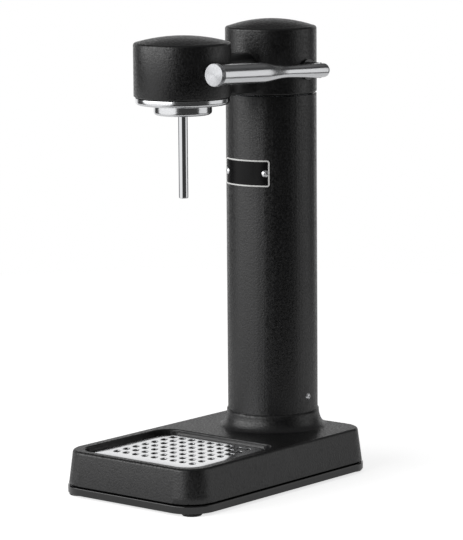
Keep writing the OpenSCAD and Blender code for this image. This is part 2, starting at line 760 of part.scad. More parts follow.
module nozzle_tube() color(steel) at_cup() rotate_extrude() polygon([[nozzle_bore / 2, z_tip],
    [nozzle_r - tip_edge, z_tip], [nozzle_r, z_tip + tip_edge], [nozzle_r, z_seal + nozzle_in],
    [nozzle_bore / 2, z_seal + nozzle_in]]);

module nozzle_screws() color(steel) at_cup()
    for (p = cup_screw_places) translate([p[0], p[1], 0])
        screw_up(z_splash_top, cup_screw_d, z_body - z_splash_top + thread_in);

// Gas line from the valve block, through the neck, to the nozzle body

nut_wall = 2;
nut_d = hose_d + 2 * nut_wall;
outlet_y = column_y - ring_hole_r + nut_d / 2 + seat_gap;
nut_len = 8;
inlet_y = cup_y + inlet_out;

// A rod along the hose's line, whose ends run past the hose's own by a length
module hose_line(d, longer) {
    z_bend = z_hose - hose_bend;
    rise = z_bend - z_hang - touch_gap + longer;
    run = outlet_y - hose_bend - inlet_y - touch_gap + longer;
    translate([0, outlet_y, z_bend - rise]) cylinder(h = rise, d = d);
    translate([0, outlet_y - hose_bend, z_bend]) rotate([90, 0, 90]) rotate_extrude(angle = 90)
        translate([hose_bend, 0]) circle(d = d);
    translate([0, outlet_y - hose_bend, z_hose]) rotate([90, 0, 0]) cylinder(h = run, d = d);
}

module gas_hose() color(plastic) difference() {
    hose_line(hose_d, 0);
    hose_line(hose_bore, past);
}

module nut() difference() {
    cylinder(h = nut_len, d = nut_d, $fn = 6);
    translate([0, 0, -past]) cylinder(h = nut_len + 2 * past, d = hose_d + 2 * pilot_gap);
}

module hose_nuts() color(brass) {
    translate([0, outlet_y, z_hang]) nut();
    translate([0, inlet_y, z_hose]) rotate([-90, 0, 0]) nut();
}

// Relief valve on top of the nozzle body

relief_d = 14;
relief_wall = 2;
relief_in = relief_d / 2 - relief_wall;
poppet_h = 4;
relief_coil_h = 8.35;
relief_h = touch_gap + poppet_h + relief_coil_h + relief_lift + relief_wall;
vent_d = 4;

module relief_valve() color(brass) at_cup() translate([0, 0, z_barrel]) difference() {
    cylinder(h = relief_h, d = relief_d);
    translate([0, 0, -past]) cylinder(h = relief_h - relief_wall + past, r = relief_in);
    cylinder(h = relief_h + past, d = vent_d);
}

module relief_poppet() color(steel) at_cup() translate([0, 0, z_barrel + touch_gap])
    cylinder(h = poppet_h, r = relief_in - run_gap);

module relief_spring() color(steel) at_cup()
    coil(relief_in - coil_gap - wire_r, wire_r, coil_turns, z_barrel + touch_gap + poppet_h + eps,
        z_barrel + relief_h - relief_wall - eps);

// Gas valve under the ring's flange

block_r = block_d / 2;
z_block = z_hang - block_h;
z_cyl_top = z_block + thread_len;
thread_r = thread_d / 2;
washer_t = 2;
z_washer = z_cyl_top + touch_gap;
oring_wire = 1.2;
oring_r = plunger_d / 2 + run_gap + oring_wire;
oring_down = 4;
z_oring = z_hang - oring_down;
port_d = 3;
port_up = 4;
z_port = z_washer + washer_t + port_up;
plunger_room = 1;

module valve_block() color(brass) at_column() difference() {
    union() {
        translate([0, 0, z_block]) cylinder(h = block_h, r = block_r);
        translate([0, 0, z_hang - ring_flange_t]) cylinder(h = ring_flange_t, r = block_flange_r);
    }
    translate([0, 0, z_block - past])
        cylinder(h = z_washer + washer_t - z_block + past, r = thread_r + run_gap);
    translate([0, 0, z_block]) cylinder(h = block_h + past, d = plunger_d + 2 * run_gap);
    translate([0, 0, z_oring - oring_wire]) cylinder(h = 2 * oring_wire, r = oring_r + oring_wire);
    translate([0, 0, z_port]) rotate([90, 0, 0]) cylinder(h = column_y - outlet_y, d = port_d);
    translate([0, outlet_y - column_y, z_port]) cylinder(h = block_h, d = port_d);
    for (p = valve_screw_places) translate([p[0], p[1], z_hang - ring_flange_t - past])
        cylinder(h = ring_flange_t + 2 * past, d = valve_screw_d + 2 * pilot_gap);
}

module valve_screws() color(steel) at_column()
    for (p = valve_screw_places) translate([p[0], p[1], 0])
        screw_down(z_flange, valve_screw_d, 2 * ring_flange_t);

module cylinder_seal() color(rubber) at_column() translate([0, 0, z_washer]) difference() {
    cylinder(h = washer_t, r = thread_r - seat_gap);
    translate([0, 0, -past]) cylinder(h = washer_t + 2 * past, d = plunger_d + 2 * plunger_room);
}

pin_down = 1;
z_pin_top = z_cyl_top - pin_down;
z_plunger_top = z_axle - cam_base - touch_gap;
z_plunger_head = z_plunger_top - plunger_head_t;

module plunger() color(steel) at_column() {
    translate([0, 0, z_pin_top + touch_gap])
        cylinder(h = z_plunger_head + past - z_pin_top - touch_gap, d = plunger_d);
    translate([0, 0, z_plunger_head]) cylinder(h = plunger_head_t, d = plunger_head);
}

module plunger_seal() color(rubber) at_column() translate([0, 0, z_oring]) rotate_extrude()
    translate([oring_r, 0]) circle(r = oring_wire - eps);

plunger_turns = 3;

module plunger_spring() color(steel) at_column()
    coil(plunger_head / 2 - coil_gap - wire_r, wire_r, plunger_turns, z_hang + eps, z_plunger_head - eps);

// Axle, cam and bracket

bush_wall = 2;
bush_r = axle_d / 2 + bush_wall;
bush_lip = 1;
bush_rim = 1.5;
bracket_top = z_axle + bush_r + bracket_t;
axle_over = 4;
axle_stop = 3;
axle_end = -(bracket_half + bracket_t + axle_over);
axle_tip = lever_x + axle_stop;

module axle_bracket() color(steel) at_column() difference() {
    union() {
        for (side = [0, 1]) mirror([side, 0, 0]) {
            translate([bracket_half, -bracket_depth + bracket_t, z_flange])
                cube([bracket_t, 2 * bracket_depth, bracket_top - z_flange]);
            translate([bracket_half, foot_y - foot_reach / 2, z_flange])
                cube([bracket_t + foot_reach, foot_reach, bracket_t]);
        }
        translate([-bracket_half - bracket_t, bracket_depth, z_flange])
            cube([2 * (bracket_half + bracket_t), bracket_t, bracket_top - z_flange]);
    }
    translate([-cap_r, 0, z_axle]) rotate([0, 90, 0]) cylinder(h = 2 * cap_r, r = bush_r + pilot_gap);
    for (p = bracket_screw_places) translate([p[0], p[1], z_flange - past])
        cylinder(h = bracket_t + 2 * past, d = bracket_screw_d + 2 * seat_gap);
}

module bracket_screws() color(steel) at_column()
    for (p = bracket_screw_places) translate([p[0], p[1], 0])
        screw_down(z_flange + bracket_t, bracket_screw_d, bracket_t + ring_flange_t - seat_gap);

module axle_bushes() color(brass)
    for (side = [0, 1]) mirror([side, 0, 0]) difference() {
        union() {
            along_axle(bracket_half, bracket_half + bracket_t, bush_r);
            along_axle(bracket_half + bracket_t, bracket_half + bracket_t + bush_lip, bush_r + bush_rim);
        }
        along_axle(0, 2 * bracket_half, axle_d / 2 + run_gap);
    }

sleeve_in = 1;

// The flange fits the cap's round side and lines the hole that the axle passes through
module axle_flange() color(coat) difference() {
    union() {
        difference() {
            along_axle(cap_r - head_wall, cap_r + axle_flange_t, axle_flange_d / 2);
            at_column() translate([0, 0, z_cap]) cylinder(h = 2 * axle_h, r = cap_r + pilot_gap);
        }
        along_axle(cap_in - sleeve_in, cap_r + axle_flange_t, sleeve_r);
    }
    along_axle(0, 2 * cap_r, axle_d / 2 + run_gap);
}

clip_w = 1;
clip_groove = 0.8;
clip_rim = 2;
clip_in = axle_d / 2 - clip_groove;
clip_x = bracket_half + bracket_t + bush_lip + touch_gap;

module lever_axle() color(steel) difference() {
    along_axle(axle_end, axle_tip, axle_d / 2);
    difference() {
        along_axle(-clip_x - clip_w - pilot_gap, -clip_x + pilot_gap, axle_d);
        along_axle(axle_end - past, 0, clip_in);
    }
}

module axle_clip() color(steel) difference() {
    along_axle(-clip_x - clip_w, -clip_x, axle_d / 2 + clip_rim);
    along_axle(axle_end - past, 0, clip_in + pilot_gap);
    translate([-clip_x - clip_w - past, column_y - clip_in, z_axle - axle_d])
        cube([clip_w + 2 * past, 2 * clip_in, axle_d]);
}

// The cam's working face is an involute, so the plunger's stroke follows the lever's angle evenly
hub_relief = 0.2;
cam_hub_r = cam_base - hub_relief;
cam_ends = 8;
cam_step = 4;
function cam_point(swing) =
    let (a = -90 - swing, lift = cam_base + cam_rise * swing * PI / 180)
    [lift * cos(a) + cam_rise * sin(a), lift * sin(a) - cam_rise * cos(a)];
grub_d = 3;

module cam() color(steel) difference() {
    union() {
        translate([-cam_w / 2, column_y, z_axle]) rotate([90, 0, 90]) linear_extrude(cam_w)
            polygon(concat([[0, 0]], [for (s = [-cam_ends:cam_step:lever_swing + cam_ends]) cam_point(s)]));
        along_axle(-cam_w / 2, cam_w / 2, cam_hub_r);
    }
    along_axle(-cam_w, cam_w, axle_d / 2 + pilot_gap);
    translate([0, column_y, z_axle]) cylinder(h = 2 * cam_base, d = grub_d + 2 * pilot_gap);
}

module cam_screw() color(steel) translate([0, column_y, z_axle + axle_d / 2 + touch_gap])
    cylinder(h = cam_hub_r - axle_d / 2 - touch_gap, d = grub_d);

module return_spring() color(steel) translate([0, column_y, z_axle]) rotate([0, 90, 0])
    coil(axle_d / 2 + coil_gap + wire_r, wire_r, coil_turns, cam_w / 2 + touch_gap, bracket_half - touch_gap);

// Lever, turned about its own axis; its profile is measured forward from the axle

grip_start = lever_len - grip_len;
waist_at = grip_start - taper_len;
end_start = lever_len - end_len;
stud_d = 8;
stud_len = 10;
end_edge = 0.5;
end_dish = 0.6;
waist_steps = 8;
taper_steps = 10;
function ease(a, b, t) = a + (b - a) * (1 - cos(180 * t)) / 2;

lever_profile = concat(
    [[0, -lever_tail]], arc(0, tail_d / 2 - lever_tail, tail_d / 2, -75, 0, 6),
    [for (i = [0:waist_steps]) let (t = i / waist_steps) [ease(tail_d, waist_d, t) / 2, waist_at * t]],
    [for (i = [1:taper_steps]) let (t = i / taper_steps)
        [ease(waist_d, grip_d, t) / 2, waist_at + taper_len * t]],
    [[grip_d / 2, end_start - end_groove], [grip_d / 2 - end_groove, end_start - end_groove],
        [grip_d / 2 - end_groove, end_start], [0, end_start]]);

module on_lever() translate([lever_x, column_y, z_axle]) rotate([90 - lever_tilt, 0, 0]) children();

module lever_rod() color(steel) difference() {
    union() {
        on_lever() rotate_extrude() polygon(lever_profile);
        along_axle(cap_r + axle_flange_t + seat_gap, lever_x, boss_d / 2);
    }
    along_axle(0, axle_tip, axle_d / 2 + pilot_gap);
    on_lever() translate([0, 0, end_start - stud_len])
        cylinder(h = stud_len + past, d = stud_d + 2 * pilot_gap);
}

module lever_end_cap() color(steel) on_lever() rotate_extrude() polygon([
    [0, end_start - stud_len + touch_gap], [stud_d / 2, end_start - stud_len + touch_gap],
    [stud_d / 2, end_start], [end_d / 2, end_start], [end_d / 2, lever_len - end_edge],
    [end_d / 2 - end_edge, lever_len], [0, lever_len - end_dish]]);

// Gas cylinder

cylinder_r = cylinder_d / 2;
z_cyl = z_plate + cylinder_end;
z_neck_top = z_cyl_top - cyl_valve_h;
neck_r = 13;
neck_in = 9;
neck_len = 5;
heel_r = 6;
heel_t = 5;
z_shoulder = z_neck_top - neck_len - shoulder_h;
function shoulder(inset) = [for (t = [0:10:90]) [neck_r - inset + (cylinder_r - neck_r) * cos(t),
    z_shoulder + (shoulder_h - inset / 2) * sin(t)]];

module cylinder_bottle() color("#7d8388") at_column() rotate_extrude() polygon(concat(
    [[0, z_cyl]], arc(cylinder_r - heel_r, z_cyl + heel_r, heel_r, -90, 0, 6), shoulder(0),
    [[neck_r, z_neck_top], [neck_in, z_neck_top]], flipped(shoulder(cylinder_wall)),
    [[cylinder_r - cylinder_wall, z_cyl + heel_r], [cylinder_r - heel_r, z_cyl + heel_t],
        [0, z_cyl + heel_t]]));

chamber_r = 4.5;
chamber_h = 14;
plug_len = 8;
inlet_d = 3;
chamber_down = 1;
z_chamber = z_neck_top - chamber_down;
valve_collar_step = 1;
valve_collar_r = neck_r + valve_collar_step;
valve_collar_h = 8;
pocket_down = 4;

module cylinder_valve() color(brass) at_column() difference() {
    union() {
        translate([0, 0, z_neck_top - plug_len]) cylinder(h = plug_len + past, r = neck_in - pilot_gap);
        translate([0, 0, z_neck_top]) cylinder(h = valve_collar_h, r = valve_collar_r);
        translate([0, 0, z_neck_top]) cylinder(h = cyl_valve_h, r = thread_r);
    }
    translate([0, 0, z_chamber]) cylinder(h = chamber_h, r = chamber_r);
    translate([0, 0, z_neck_top - plug_len - past]) cylinder(h = plug_len + 2 * past, d = inlet_d);
    translate([0, 0, z_chamber]) cylinder(h = cyl_valve_h + 2 * past, d = pin_d + 2 * run_gap);
    translate([0, 0, z_pin_top - pocket_down])
        cylinder(h = pocket_down + pin_down + past, d = plunger_d + 2 * plunger_room);
}

pin_collar_t = 2.5;
pin_collar_gap = 1;
z_collar = z_chamber + chamber_h - touch_gap - pin_collar_t;

module valve_pin() color(brass) at_column() {
    translate([0, 0, z_collar]) cylinder(h = z_pin_top - z_collar, d = pin_d);
    translate([0, 0, z_collar]) cylinder(h = pin_collar_t, r = chamber_r - pin_collar_gap);
}

module valve_spring() color(steel) at_column()
    coil(chamber_r - coil_gap - wire_r, wire_r, coil_turns, z_chamber + eps, z_collar - eps);

base_body();
base_plate();
rubber_feet();
base_screws();
drip_grille();
grille_pads();
column_tube();
column_screws();
badge_plate();
badge_screws();
column_ring();
cylinder_guide();
head_shell();
head_screws();
splash_ring();
bottle_socket();
bottle_seal();
nozzle_body();
nozzle_tube();
nozzle_screws();
gas_hose();
hose_nuts();
relief_valve();
relief_spring();
relief_poppet();
valve_block();
valve_screws();
cylinder_seal();
plunger();
plunger_seal();
plunger_spring();
axle_bracket();
bracket_screws();
axle_bushes();
axle_flange();
lever_axle();
axle_clip();
cam();
cam_screw();
lever_rod();
lever_end_cap();
return_spring();
cylinder_bottle();
cylinder_valve();
valve_pin();
valve_spring();
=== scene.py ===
"""Sparkling water maker: the finish of every piece, a plain white studio and the photograph's viewpoint."""
import json
import math

import bmesh
import bpy
from mathutils import Euler, Matrix, Vector


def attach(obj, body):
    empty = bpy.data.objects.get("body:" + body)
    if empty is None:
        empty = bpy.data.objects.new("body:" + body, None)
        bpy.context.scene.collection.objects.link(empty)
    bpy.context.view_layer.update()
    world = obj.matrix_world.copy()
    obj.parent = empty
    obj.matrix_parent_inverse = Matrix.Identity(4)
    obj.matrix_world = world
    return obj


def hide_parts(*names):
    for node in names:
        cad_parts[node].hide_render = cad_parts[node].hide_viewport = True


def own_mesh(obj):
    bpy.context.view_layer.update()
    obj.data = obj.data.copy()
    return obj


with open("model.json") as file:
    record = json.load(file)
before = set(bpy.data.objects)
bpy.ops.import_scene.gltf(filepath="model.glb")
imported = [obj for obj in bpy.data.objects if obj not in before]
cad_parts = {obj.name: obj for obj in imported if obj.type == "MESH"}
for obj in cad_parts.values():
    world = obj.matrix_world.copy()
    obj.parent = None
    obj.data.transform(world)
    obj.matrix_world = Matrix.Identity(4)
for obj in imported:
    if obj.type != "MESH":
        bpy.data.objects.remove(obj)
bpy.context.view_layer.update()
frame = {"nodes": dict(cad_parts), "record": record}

# Camera
# The photograph looks from the front right, a little above the head, through a long lens.
# The place, turn and slight roll were fitted to the edges of the base, column and head.
CAMERA_PLACE = (1.70999, -2.03484, 0.59442)
CAMERA_TURN = (81.4293, 0.0, 39.7448)
CAMERA_ROLL = -0.4519
LENS_MM = 200.143
SENSOR_MM = 36.0
VIEW_REACH = 50.0

camera = bpy.data.objects.new("camera", bpy.data.cameras.new("camera"))
bpy.context.scene.collection.objects.link(camera)
camera.location = CAMERA_PLACE
level_view = Euler([math.radians(angle) for angle in CAMERA_TURN]).to_matrix()
camera.rotation_euler = (level_view @ Matrix.Rotation(math.radians(CAMERA_ROLL), 3, "Z")).to_euler()
camera.data.lens = LENS_MM
camera.data.sensor_width = SENSOR_MM
camera.data.clip_end = VIEW_REACH
bpy.context.scene.camera = camera

# Base casting
# A hollow die-cast tray with leaning sides, a drip recess and a flared collar for the column.
# Matte black polyester powder, sprayed and baked, leaves a fine sanded grit all over it.
COAT_LIGHT = "#161617"
COAT_DARK = "#0b0b0c"
COAT_GRIT_MM = 1.7
COAT_MOTTLE_MM = 16.0
COAT_GRIT_HIGH_MM = 0.21
COAT_ROUGH = (0.28, 0.52)
COAT_GLOSS = 0.56
NOISE_SPAN = (0.3, 0.7)
CAST_SMOOTH_DEG = 32.0
WELD = 0.000002

body_of = {node: body for body, nodes in frame["record"]["behaviour"]["bodies"].items() for node in nodes}


def linear(colour):
    """An sRGB hex colour as linear red, green, blue and alpha."""
    parts = [int(colour[i:i + 2], 16) / 255 for i in (1, 3, 5)]
    return [c / 12.92 if c <= 0.04045 else ((c + 0.055) / 1.055) ** 2.4 for c in parts] + [1.0]


def per_mm(size):
    """The texture scale, in metres, at which a pattern's features are about size millimetres across."""
    return 1000.0 / size


def add(tree, kind, inputs=None, **settings):
    """Adds a node with its settings; inputs maps a socket to a value or to another node's output."""
    made = tree.nodes.new(kind)
    for name, value in settings.items():
        setattr(made, name, value)
    for socket, value in (inputs or {}).items():
        if isinstance(value, bpy.types.NodeSocket):
            tree.links.new(value, made.inputs[socket])
        else:
            made.inputs[socket].default_value = value
    return made


def new_material(name):
    """An empty node material and its Principled shader."""
    material = bpy.data.materials.new(name)
    material.use_nodes = True
    tree = material.node_tree
    tree.nodes.clear()
    shader = add(tree, "ShaderNodeBsdfPrincipled")
    add(tree, "ShaderNodeOutputMaterial", {"Surface": shader.outputs["BSDF"]})
    return material, tree, shader


def ramp(tree, factor, low, high, start=0.35, end=0.65):
    """A colour ramp from one hex colour to another."""
    made = add(tree, "ShaderNodeValToRGB", {"Fac": factor})
    made.color_ramp.elements[0].position = start
    made.color_ramp.elements[0].color = linear(low)
    made.color_ramp.elements[1].position = end
    made.color_ramp.elements[1].color = linear(high)
    return made.outputs["Color"]


def powder_coat():
    """Baked polyester powder: matte, nearly black, with a grit that spreads the highlight.
    The real grit is about 0.2 mm, and is drawn coarser here so that it shows."""
    material, tree, shader = new_material("black_polyester_powder_coat")
    place = add(tree, "ShaderNodeTexCoord").outputs["Object"]
    grit = add(tree, "ShaderNodeTexNoise",
               {"Vector": place, "Scale": per_mm(COAT_GRIT_MM), "Detail": 1.0, "Roughness": 0.5})
    mottle = add(tree, "ShaderNodeTexNoise",
                 {"Vector": place, "Scale": per_mm(COAT_MOTTLE_MM), "Detail": 2.0})
    mixed = add(tree, "ShaderNodeMath", {0: grit.outputs["Fac"], 1: mottle.outputs["Fac"]}, operation="ADD")
    halved = add(tree, "ShaderNodeMath", {0: mixed.outputs["Value"], 1: 0.5}, operation="MULTIPLY")
    tree.links.new(ramp(tree, halved.outputs["Value"], COAT_DARK, COAT_LIGHT), shader.inputs["Base Color"])
    rough = add(tree, "ShaderNodeMapRange",
                {"Value": grit.outputs["Fac"], "From Min": NOISE_SPAN[0], "From Max": NOISE_SPAN[1],
                 "To Min": COAT_ROUGH[0], "To Max": COAT_ROUGH[1]})
    tree.links.new(rough.outputs["Result"], shader.inputs["Roughness"])
    bump = add(tree, "ShaderNodeBump", {"Strength": 1.0, "Distance": COAT_GRIT_HIGH_MM / 1000,
                                        "Height": grit.outputs["Fac"]})
    tree.links.new(bump.outputs["Normal"], shader.inputs["Normal"])
    shader.inputs["Specular IOR Level"].default_value = COAT_GLOSS
    return material


def put_shape(mesh, shape, smooth_deg):
    """Fills a mesh from a bmesh and shades it smooth except at edges sharper than the angle."""
    shape.to_mesh(mesh)
    shape.free()
    mesh.shade_smooth()
    mesh.set_sharp_from_angle(angle=math.radians(smooth_deg))


def link_piece(name, mesh):
    """An object in the scene that shows a mesh."""
    piece = bpy.data.objects.new(name, mesh)
    bpy.context.scene.collection.objects.link(piece)
    return piece


def new_piece(name, shape, smooth_deg):
    """An object in the scene made from a bmesh."""
    mesh = bpy.data.meshes.new(name)
    put_shape(mesh, shape, smooth_deg)
    return link_piece(name, mesh)


def stand_for(piece, node, *materials):
    """Puts a piece in a solid's place, on the same body, with the given materials, and hides the solid."""
    for material in materials:
        if material.name not in piece.data.materials:
            piece.data.materials.append(material)
    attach(piece, body_of[node])
    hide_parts(node)


def smooth_copy(name, node, material, smooth_deg=CAST_SMOOTH_DEG):
    """A welded copy of a solid, whose rounded faces are shaded smooth and whose flats stay flat."""
    shape = bmesh.new()
    shape.from_mesh(frame["nodes"][node].data)
    bmesh.ops.remove_doubles(shape, verts=shape.verts, dist=WELD)
    piece = new_piece(name, shape, smooth_deg)
    flats = piece.modifiers.new("flat_faces", "WEIGHTED_NORMAL")
    flats.keep_sharp = True
    stand_for(piece, node, material)
    return piece


coat = powder_coat()
smooth_copy("base_casting", "base_body", coat)

# Bottom plate and feet
# The plate closes the base from below and shows as a glossy trim line under the shadow gap.
# It is moulded ABS, held by four countersunk screws, and stands on four rubber feet.
ABS_COLOUR = "#141415"
RUBBER_COLOUR = "#161616"
MOULD_GRAIN_MM = 0.6
MOULD_GRAIN_HIGH_MM = 0.03
MOULD_GRAIN_BUMP = 0.3
MOULD_ROUGH_SPREAD = 0.06
TRIM_EDGE_MM = 1.0
TRIM_EDGE_DEG = 60.0
TRIM_EDGE_STEPS = 3


def moulded(name, colour, roughness, gloss=0.5):
    """Moulded plastic, rubber or enamel: even colour with a faint grain."""
    material, tree, shader = new_material(name)
    place = add(tree, "ShaderNodeTexCoord").outputs["Object"]
    grain = add(tree, "ShaderNodeTexNoise", {"Vector": place, "Scale": per_mm(MOULD_GRAIN_MM), "Detail": 2.0})
    rough = add(tree, "ShaderNodeMapRange", {
        "Value": grain.outputs["Fac"], "To Min": roughness - MOULD_ROUGH_SPREAD,
        "To Max": roughness + MOULD_ROUGH_SPREAD})
    bump = add(tree, "ShaderNodeBump", {
        "Strength": MOULD_GRAIN_BUMP, "Distance": MOULD_GRAIN_HIGH_MM / 1000, "Height": grain.outputs["Fac"]})
    tree.links.new(rough.outputs["Result"], shader.inputs["Roughness"])
    tree.links.new(bump.outputs["Normal"], shader.inputs["Normal"])
    shader.inputs["Base Color"].default_value = linear(colour)
    shader.inputs["Specular IOR Level"].default_value = gloss
    return material


abs_black = moulded("black_moulded_abs", ABS_COLOUR, roughness=0.1, gloss=0.7)
rubber = moulded("black_nitrile_rubber", RUBBER_COLOUR, roughness=0.7)
trim = smooth_copy("bottom_trim_plate", "base_plate", abs_black)
eased_edge = trim.modifiers.new("eased_edge", "BEVEL")
eased_edge.width = TRIM_EDGE_MM / 1000
eased_edge.segments = TRIM_EDGE_STEPS
eased_edge.limit_method = "ANGLE"
eased_edge.angle_limit = math.radians(TRIM_EDGE_DEG)
trim.modifiers.move(1, 0)
smooth_copy("base_feet", "rubber_feet", rubber)

# Drip grille
# A sheet of polished stainless steel, punched with nine by seven round holes and folded down all
# round. The punch rolls each hole's top edge and breaks out wider below. Four rubber pads carry it.
STEEL_COLOUR = "#e0e1e3"
GRILLE_Y = -55.0
GRILLE_TOP = 37.5
GRILLE_HALF_W = 59.55
GRILLE_HALF_L = 53.8
GRILLE_CORNER_R = 12.9
SHEET_T = 1.2
FOLD_H = 4.0
HOLE_R = 3.05
HOLE_STEP = (11.0, 12.8)
HOLE_COUNT = (9, 7)
HOLE_SHIFT = 6.4
LIP_R = 0.25
LIP_TURNS = (0.0, 30.0, 60.0, 90.0)
BREAK_OUT = 0.8
TILE_SIDE = 8
CORNER_SHARE = 4
FOLD_STEPS = 5
SHEET_SMOOTH_DEG = 60.0
GRILLE_SMOOTH_DEG = 40.0
LINES_EVEN = (1.0, 1.0, 1.0)
LINES_ALONG_Y = (1.0, 0.05, 1.0)
METAL_ROUGH_SPREAD = (0.8, 1.25)
MM = 0.001


def worked_metal(name, colour, roughness, line_mm, lines_along):
    """Turned, drawn or polished metal, with the finest scratches of the tool or wheel along it.
    The real scratches are hundredths of a millimetre wide, and are drawn wider so that they show."""
    material, tree, shader = new_material(name)
    place = add(tree, "ShaderNodeTexCoord").outputs["Object"]
    stretch = add(tree, "ShaderNodeMapping", {"Vector": place, "Scale": lines_along})
    lines = add(tree, "ShaderNodeTexNoise", {
        "Vector": stretch.outputs["Vector"], "Scale": per_mm(line_mm), "Detail": 3.0})
    rough = add(tree, "ShaderNodeMapRange", {
        "Value": lines.outputs["Fac"], "From Min": NOISE_SPAN[0], "From Max": NOISE_SPAN[1],
        "To Min": roughness * METAL_ROUGH_SPREAD[0], "To Max": roughness * METAL_ROUGH_SPREAD[1]})
    tree.links.new(rough.outputs["Result"], shader.inputs["Roughness"])
    shader.inputs["Base Color"].default_value = linear(colour)
    shader.inputs["Metallic"].default_value = 1.0
    return material


def add_loop(shape, points):
    """Adds a ring of corners, given in millimetres."""
    return [shape.verts.new(Vector(point) * MM) for point in points]


def bridge(shape, first, second):
    """Joins two rings of equal count with four-sided faces, leaving out edges that have no length."""
    count = len(first)
    for i in range(count):
        corners = [first[i], first[(i + 1) % count], second[(i + 1) % count], second[i]]
        shape.faces.new(list(dict.fromkeys(corners)))


def bridge_all(shape, rings):
    """Joins each ring to the next."""
    for first, second in zip(rings, rings[1:]):
        bridge(shape, first, second)


def rectangle_loop(half_w, half_l, count_w, count_l, z):
    """Points round a rectangle from its front left corner, evenly spaced along each side."""
    corners = [(-half_w, -half_l), (half_w, -half_l), (half_w, half_l), (-half_w, half_l)]
    points = []
    for side, count in enumerate((count_w, count_l, count_w, count_l)):
        (x0, y0), (x1, y1) = corners[side], corners[(side + 1) % 4]
        for i in range(count):
            points.append((x0 + (x1 - x0) * i / count, y0 + (y1 - y0) * i / count, z))
    return points


def rounded_loop(half_w, half_l, r, count_w, count_l, share, z):
    """Points round a rectangle with round corners, as many as rectangle_loop gives; each corner's arc
    takes the given share of the steps at both sides of it."""
    middles = [(r - half_w, r - half_l), (half_w - r, r - half_l),
               (half_w - r, half_l - r), (r - half_w, half_l - r)]
    points = []
    for side, count in enumerate((count_w, count_l, count_w, count_l)):
        (ax, ay), (bx, by) = middles[side], middles[(side + 1) % 4]
        out = math.radians(90 * side - 90)
        for i in range(count):
            along = min(max((i - share) / (count - 2 * share), 0.0), 1.0)
            lean = math.radians(45 * (min(i - share, 0) + max(i - count + share, 0)) / share)
            x = ax + (bx - ax) * along + r * math.cos(out + lean)
            y = ay + (by - ay) * along + r * math.sin(out + lean)
            points.append((x, y, z))
    return points


def closed(shape):
    """Merges doubled corners and turns the faces outwards."""
    bmesh.ops.remove_doubles(shape, verts=shape.verts, dist=WELD)
    bmesh.ops.recalc_face_normals(shape, faces=shape.faces)


def moved(points, dx, dy):
    """Points shifted in plan."""
    return [(x + dx, y + dy, z) for x, y, z in points]


def hole_ring(corners, r, z):
    """A ring of points on a circle, each in the direction of one of the given corners."""
    turns = [math.atan2(y, x) for x, y, _ in corners]
    return [(r * math.cos(turn), r * math.sin(turn), z) for turn in turns]


def punched_tile():
    """One hole of the sheet, with the square of metal round it."""
    shape = bmesh.new()
    half_x, half_y = HOLE_STEP[0] / 2, HOLE_STEP[1] / 2
    edge = rectangle_loop(half_x, half_y, TILE_SIDE, TILE_SIDE, 0.0)
    rings = [add_loop(shape, edge)]
    for turn in LIP_TURNS:
        lip = math.radians(turn)
        rings.append(add_loop(shape, hole_ring(edge, HOLE_R + LIP_R * (1 - math.sin(lip)),
                                               -LIP_R * (1 - math.cos(lip)))))
    rings.append(add_loop(shape, hole_ring(edge, HOLE_R + BREAK_OUT, -SHEET_T)))
    rings.append(add_loop(shape, [(x, y, -SHEET_T) for x, y, _ in edge]))
    bridge_all(shape, rings)
    return shape


def folded_border():
    """The sheet outside the holes, with its edge bent down."""
    shape = bmesh.new()
    counts = (HOLE_COUNT[0] * TILE_SIDE, HOLE_COUNT[1] * TILE_SIDE)
    half_w = HOLE_COUNT[0] * HOLE_STEP[0] / 2
    half_l = HOLE_COUNT[1] * HOLE_STEP[1] / 2
    inner = moved(rectangle_loop(half_w, half_l, *counts, 0.0), 0.0, HOLE_SHIFT)
    rings = [add_loop(shape, inner)]

    def outline(inset, z):
        rings.append(add_loop(shape, rounded_loop(GRILLE_HALF_W - inset, GRILLE_HALF_L - inset,
                                                  GRILLE_CORNER_R - inset, *counts, CORNER_SHARE, z)))

    for step in range(FOLD_STEPS + 1):
        bend = math.radians(90 * step / FOLD_STEPS)
        outline(SHEET_T * (1 - math.sin(bend)), -SHEET_T * (1 - math.cos(bend)))
    outline(0.0, -FOLD_H)
    outline(SHEET_T, -FOLD_H)
    outline(SHEET_T, -SHEET_T)
    rings.append(add_loop(shape, [(x, y, -SHEET_T) for x, y, _ in inner]))
    bridge_all(shape, rings)
    return shape


def node_group(name, inputs):
    """An empty geometry tree with named inputs, and its start."""
    tree = bpy.data.node_groups.new(name, "GeometryNodeTree")
    tree.interface.new_socket("Geometry", in_out="INPUT", socket_type="NodeSocketGeometry")
    for label, kind in inputs.items():
        tree.interface.new_socket(label, in_out="INPUT", socket_type=kind)
    tree.interface.new_socket("Geometry", in_out="OUTPUT", socket_type="NodeSocketGeometry")
    return tree, add(tree, "NodeGroupInput")


def end_group(tree, geometry, material):
    """Makes the instances real, gives them their material and ends the tree."""
    real = add(tree, "GeometryNodeRealizeInstances", {"Geometry": geometry})
    finished = add(tree, "GeometryNodeSetMaterial",
                   {"Geometry": real.outputs["Geometry"], "Material": material})
    add(tree, "NodeGroupOutput", {"Geometry": finished.outputs["Geometry"]})


def run_group(piece, tree, values):
    """Runs a geometry tree on a piece with the given inputs and keeps the result as its plain mesh."""
    modifier = piece.modifiers.new("shape", "NODES")
    modifier.node_group = tree
    sockets = {item.name: item.identifier for item in tree.interface.items_tree if item.in_out == "INPUT"}
    for label, value in values.items():
        modifier[sockets[label]] = value
    result = bpy.data.meshes.new_from_object(
        piece.evaluated_get(bpy.context.evaluated_depsgraph_get()))
    piece.modifiers.remove(modifier)
    piece.data = result
    return piece


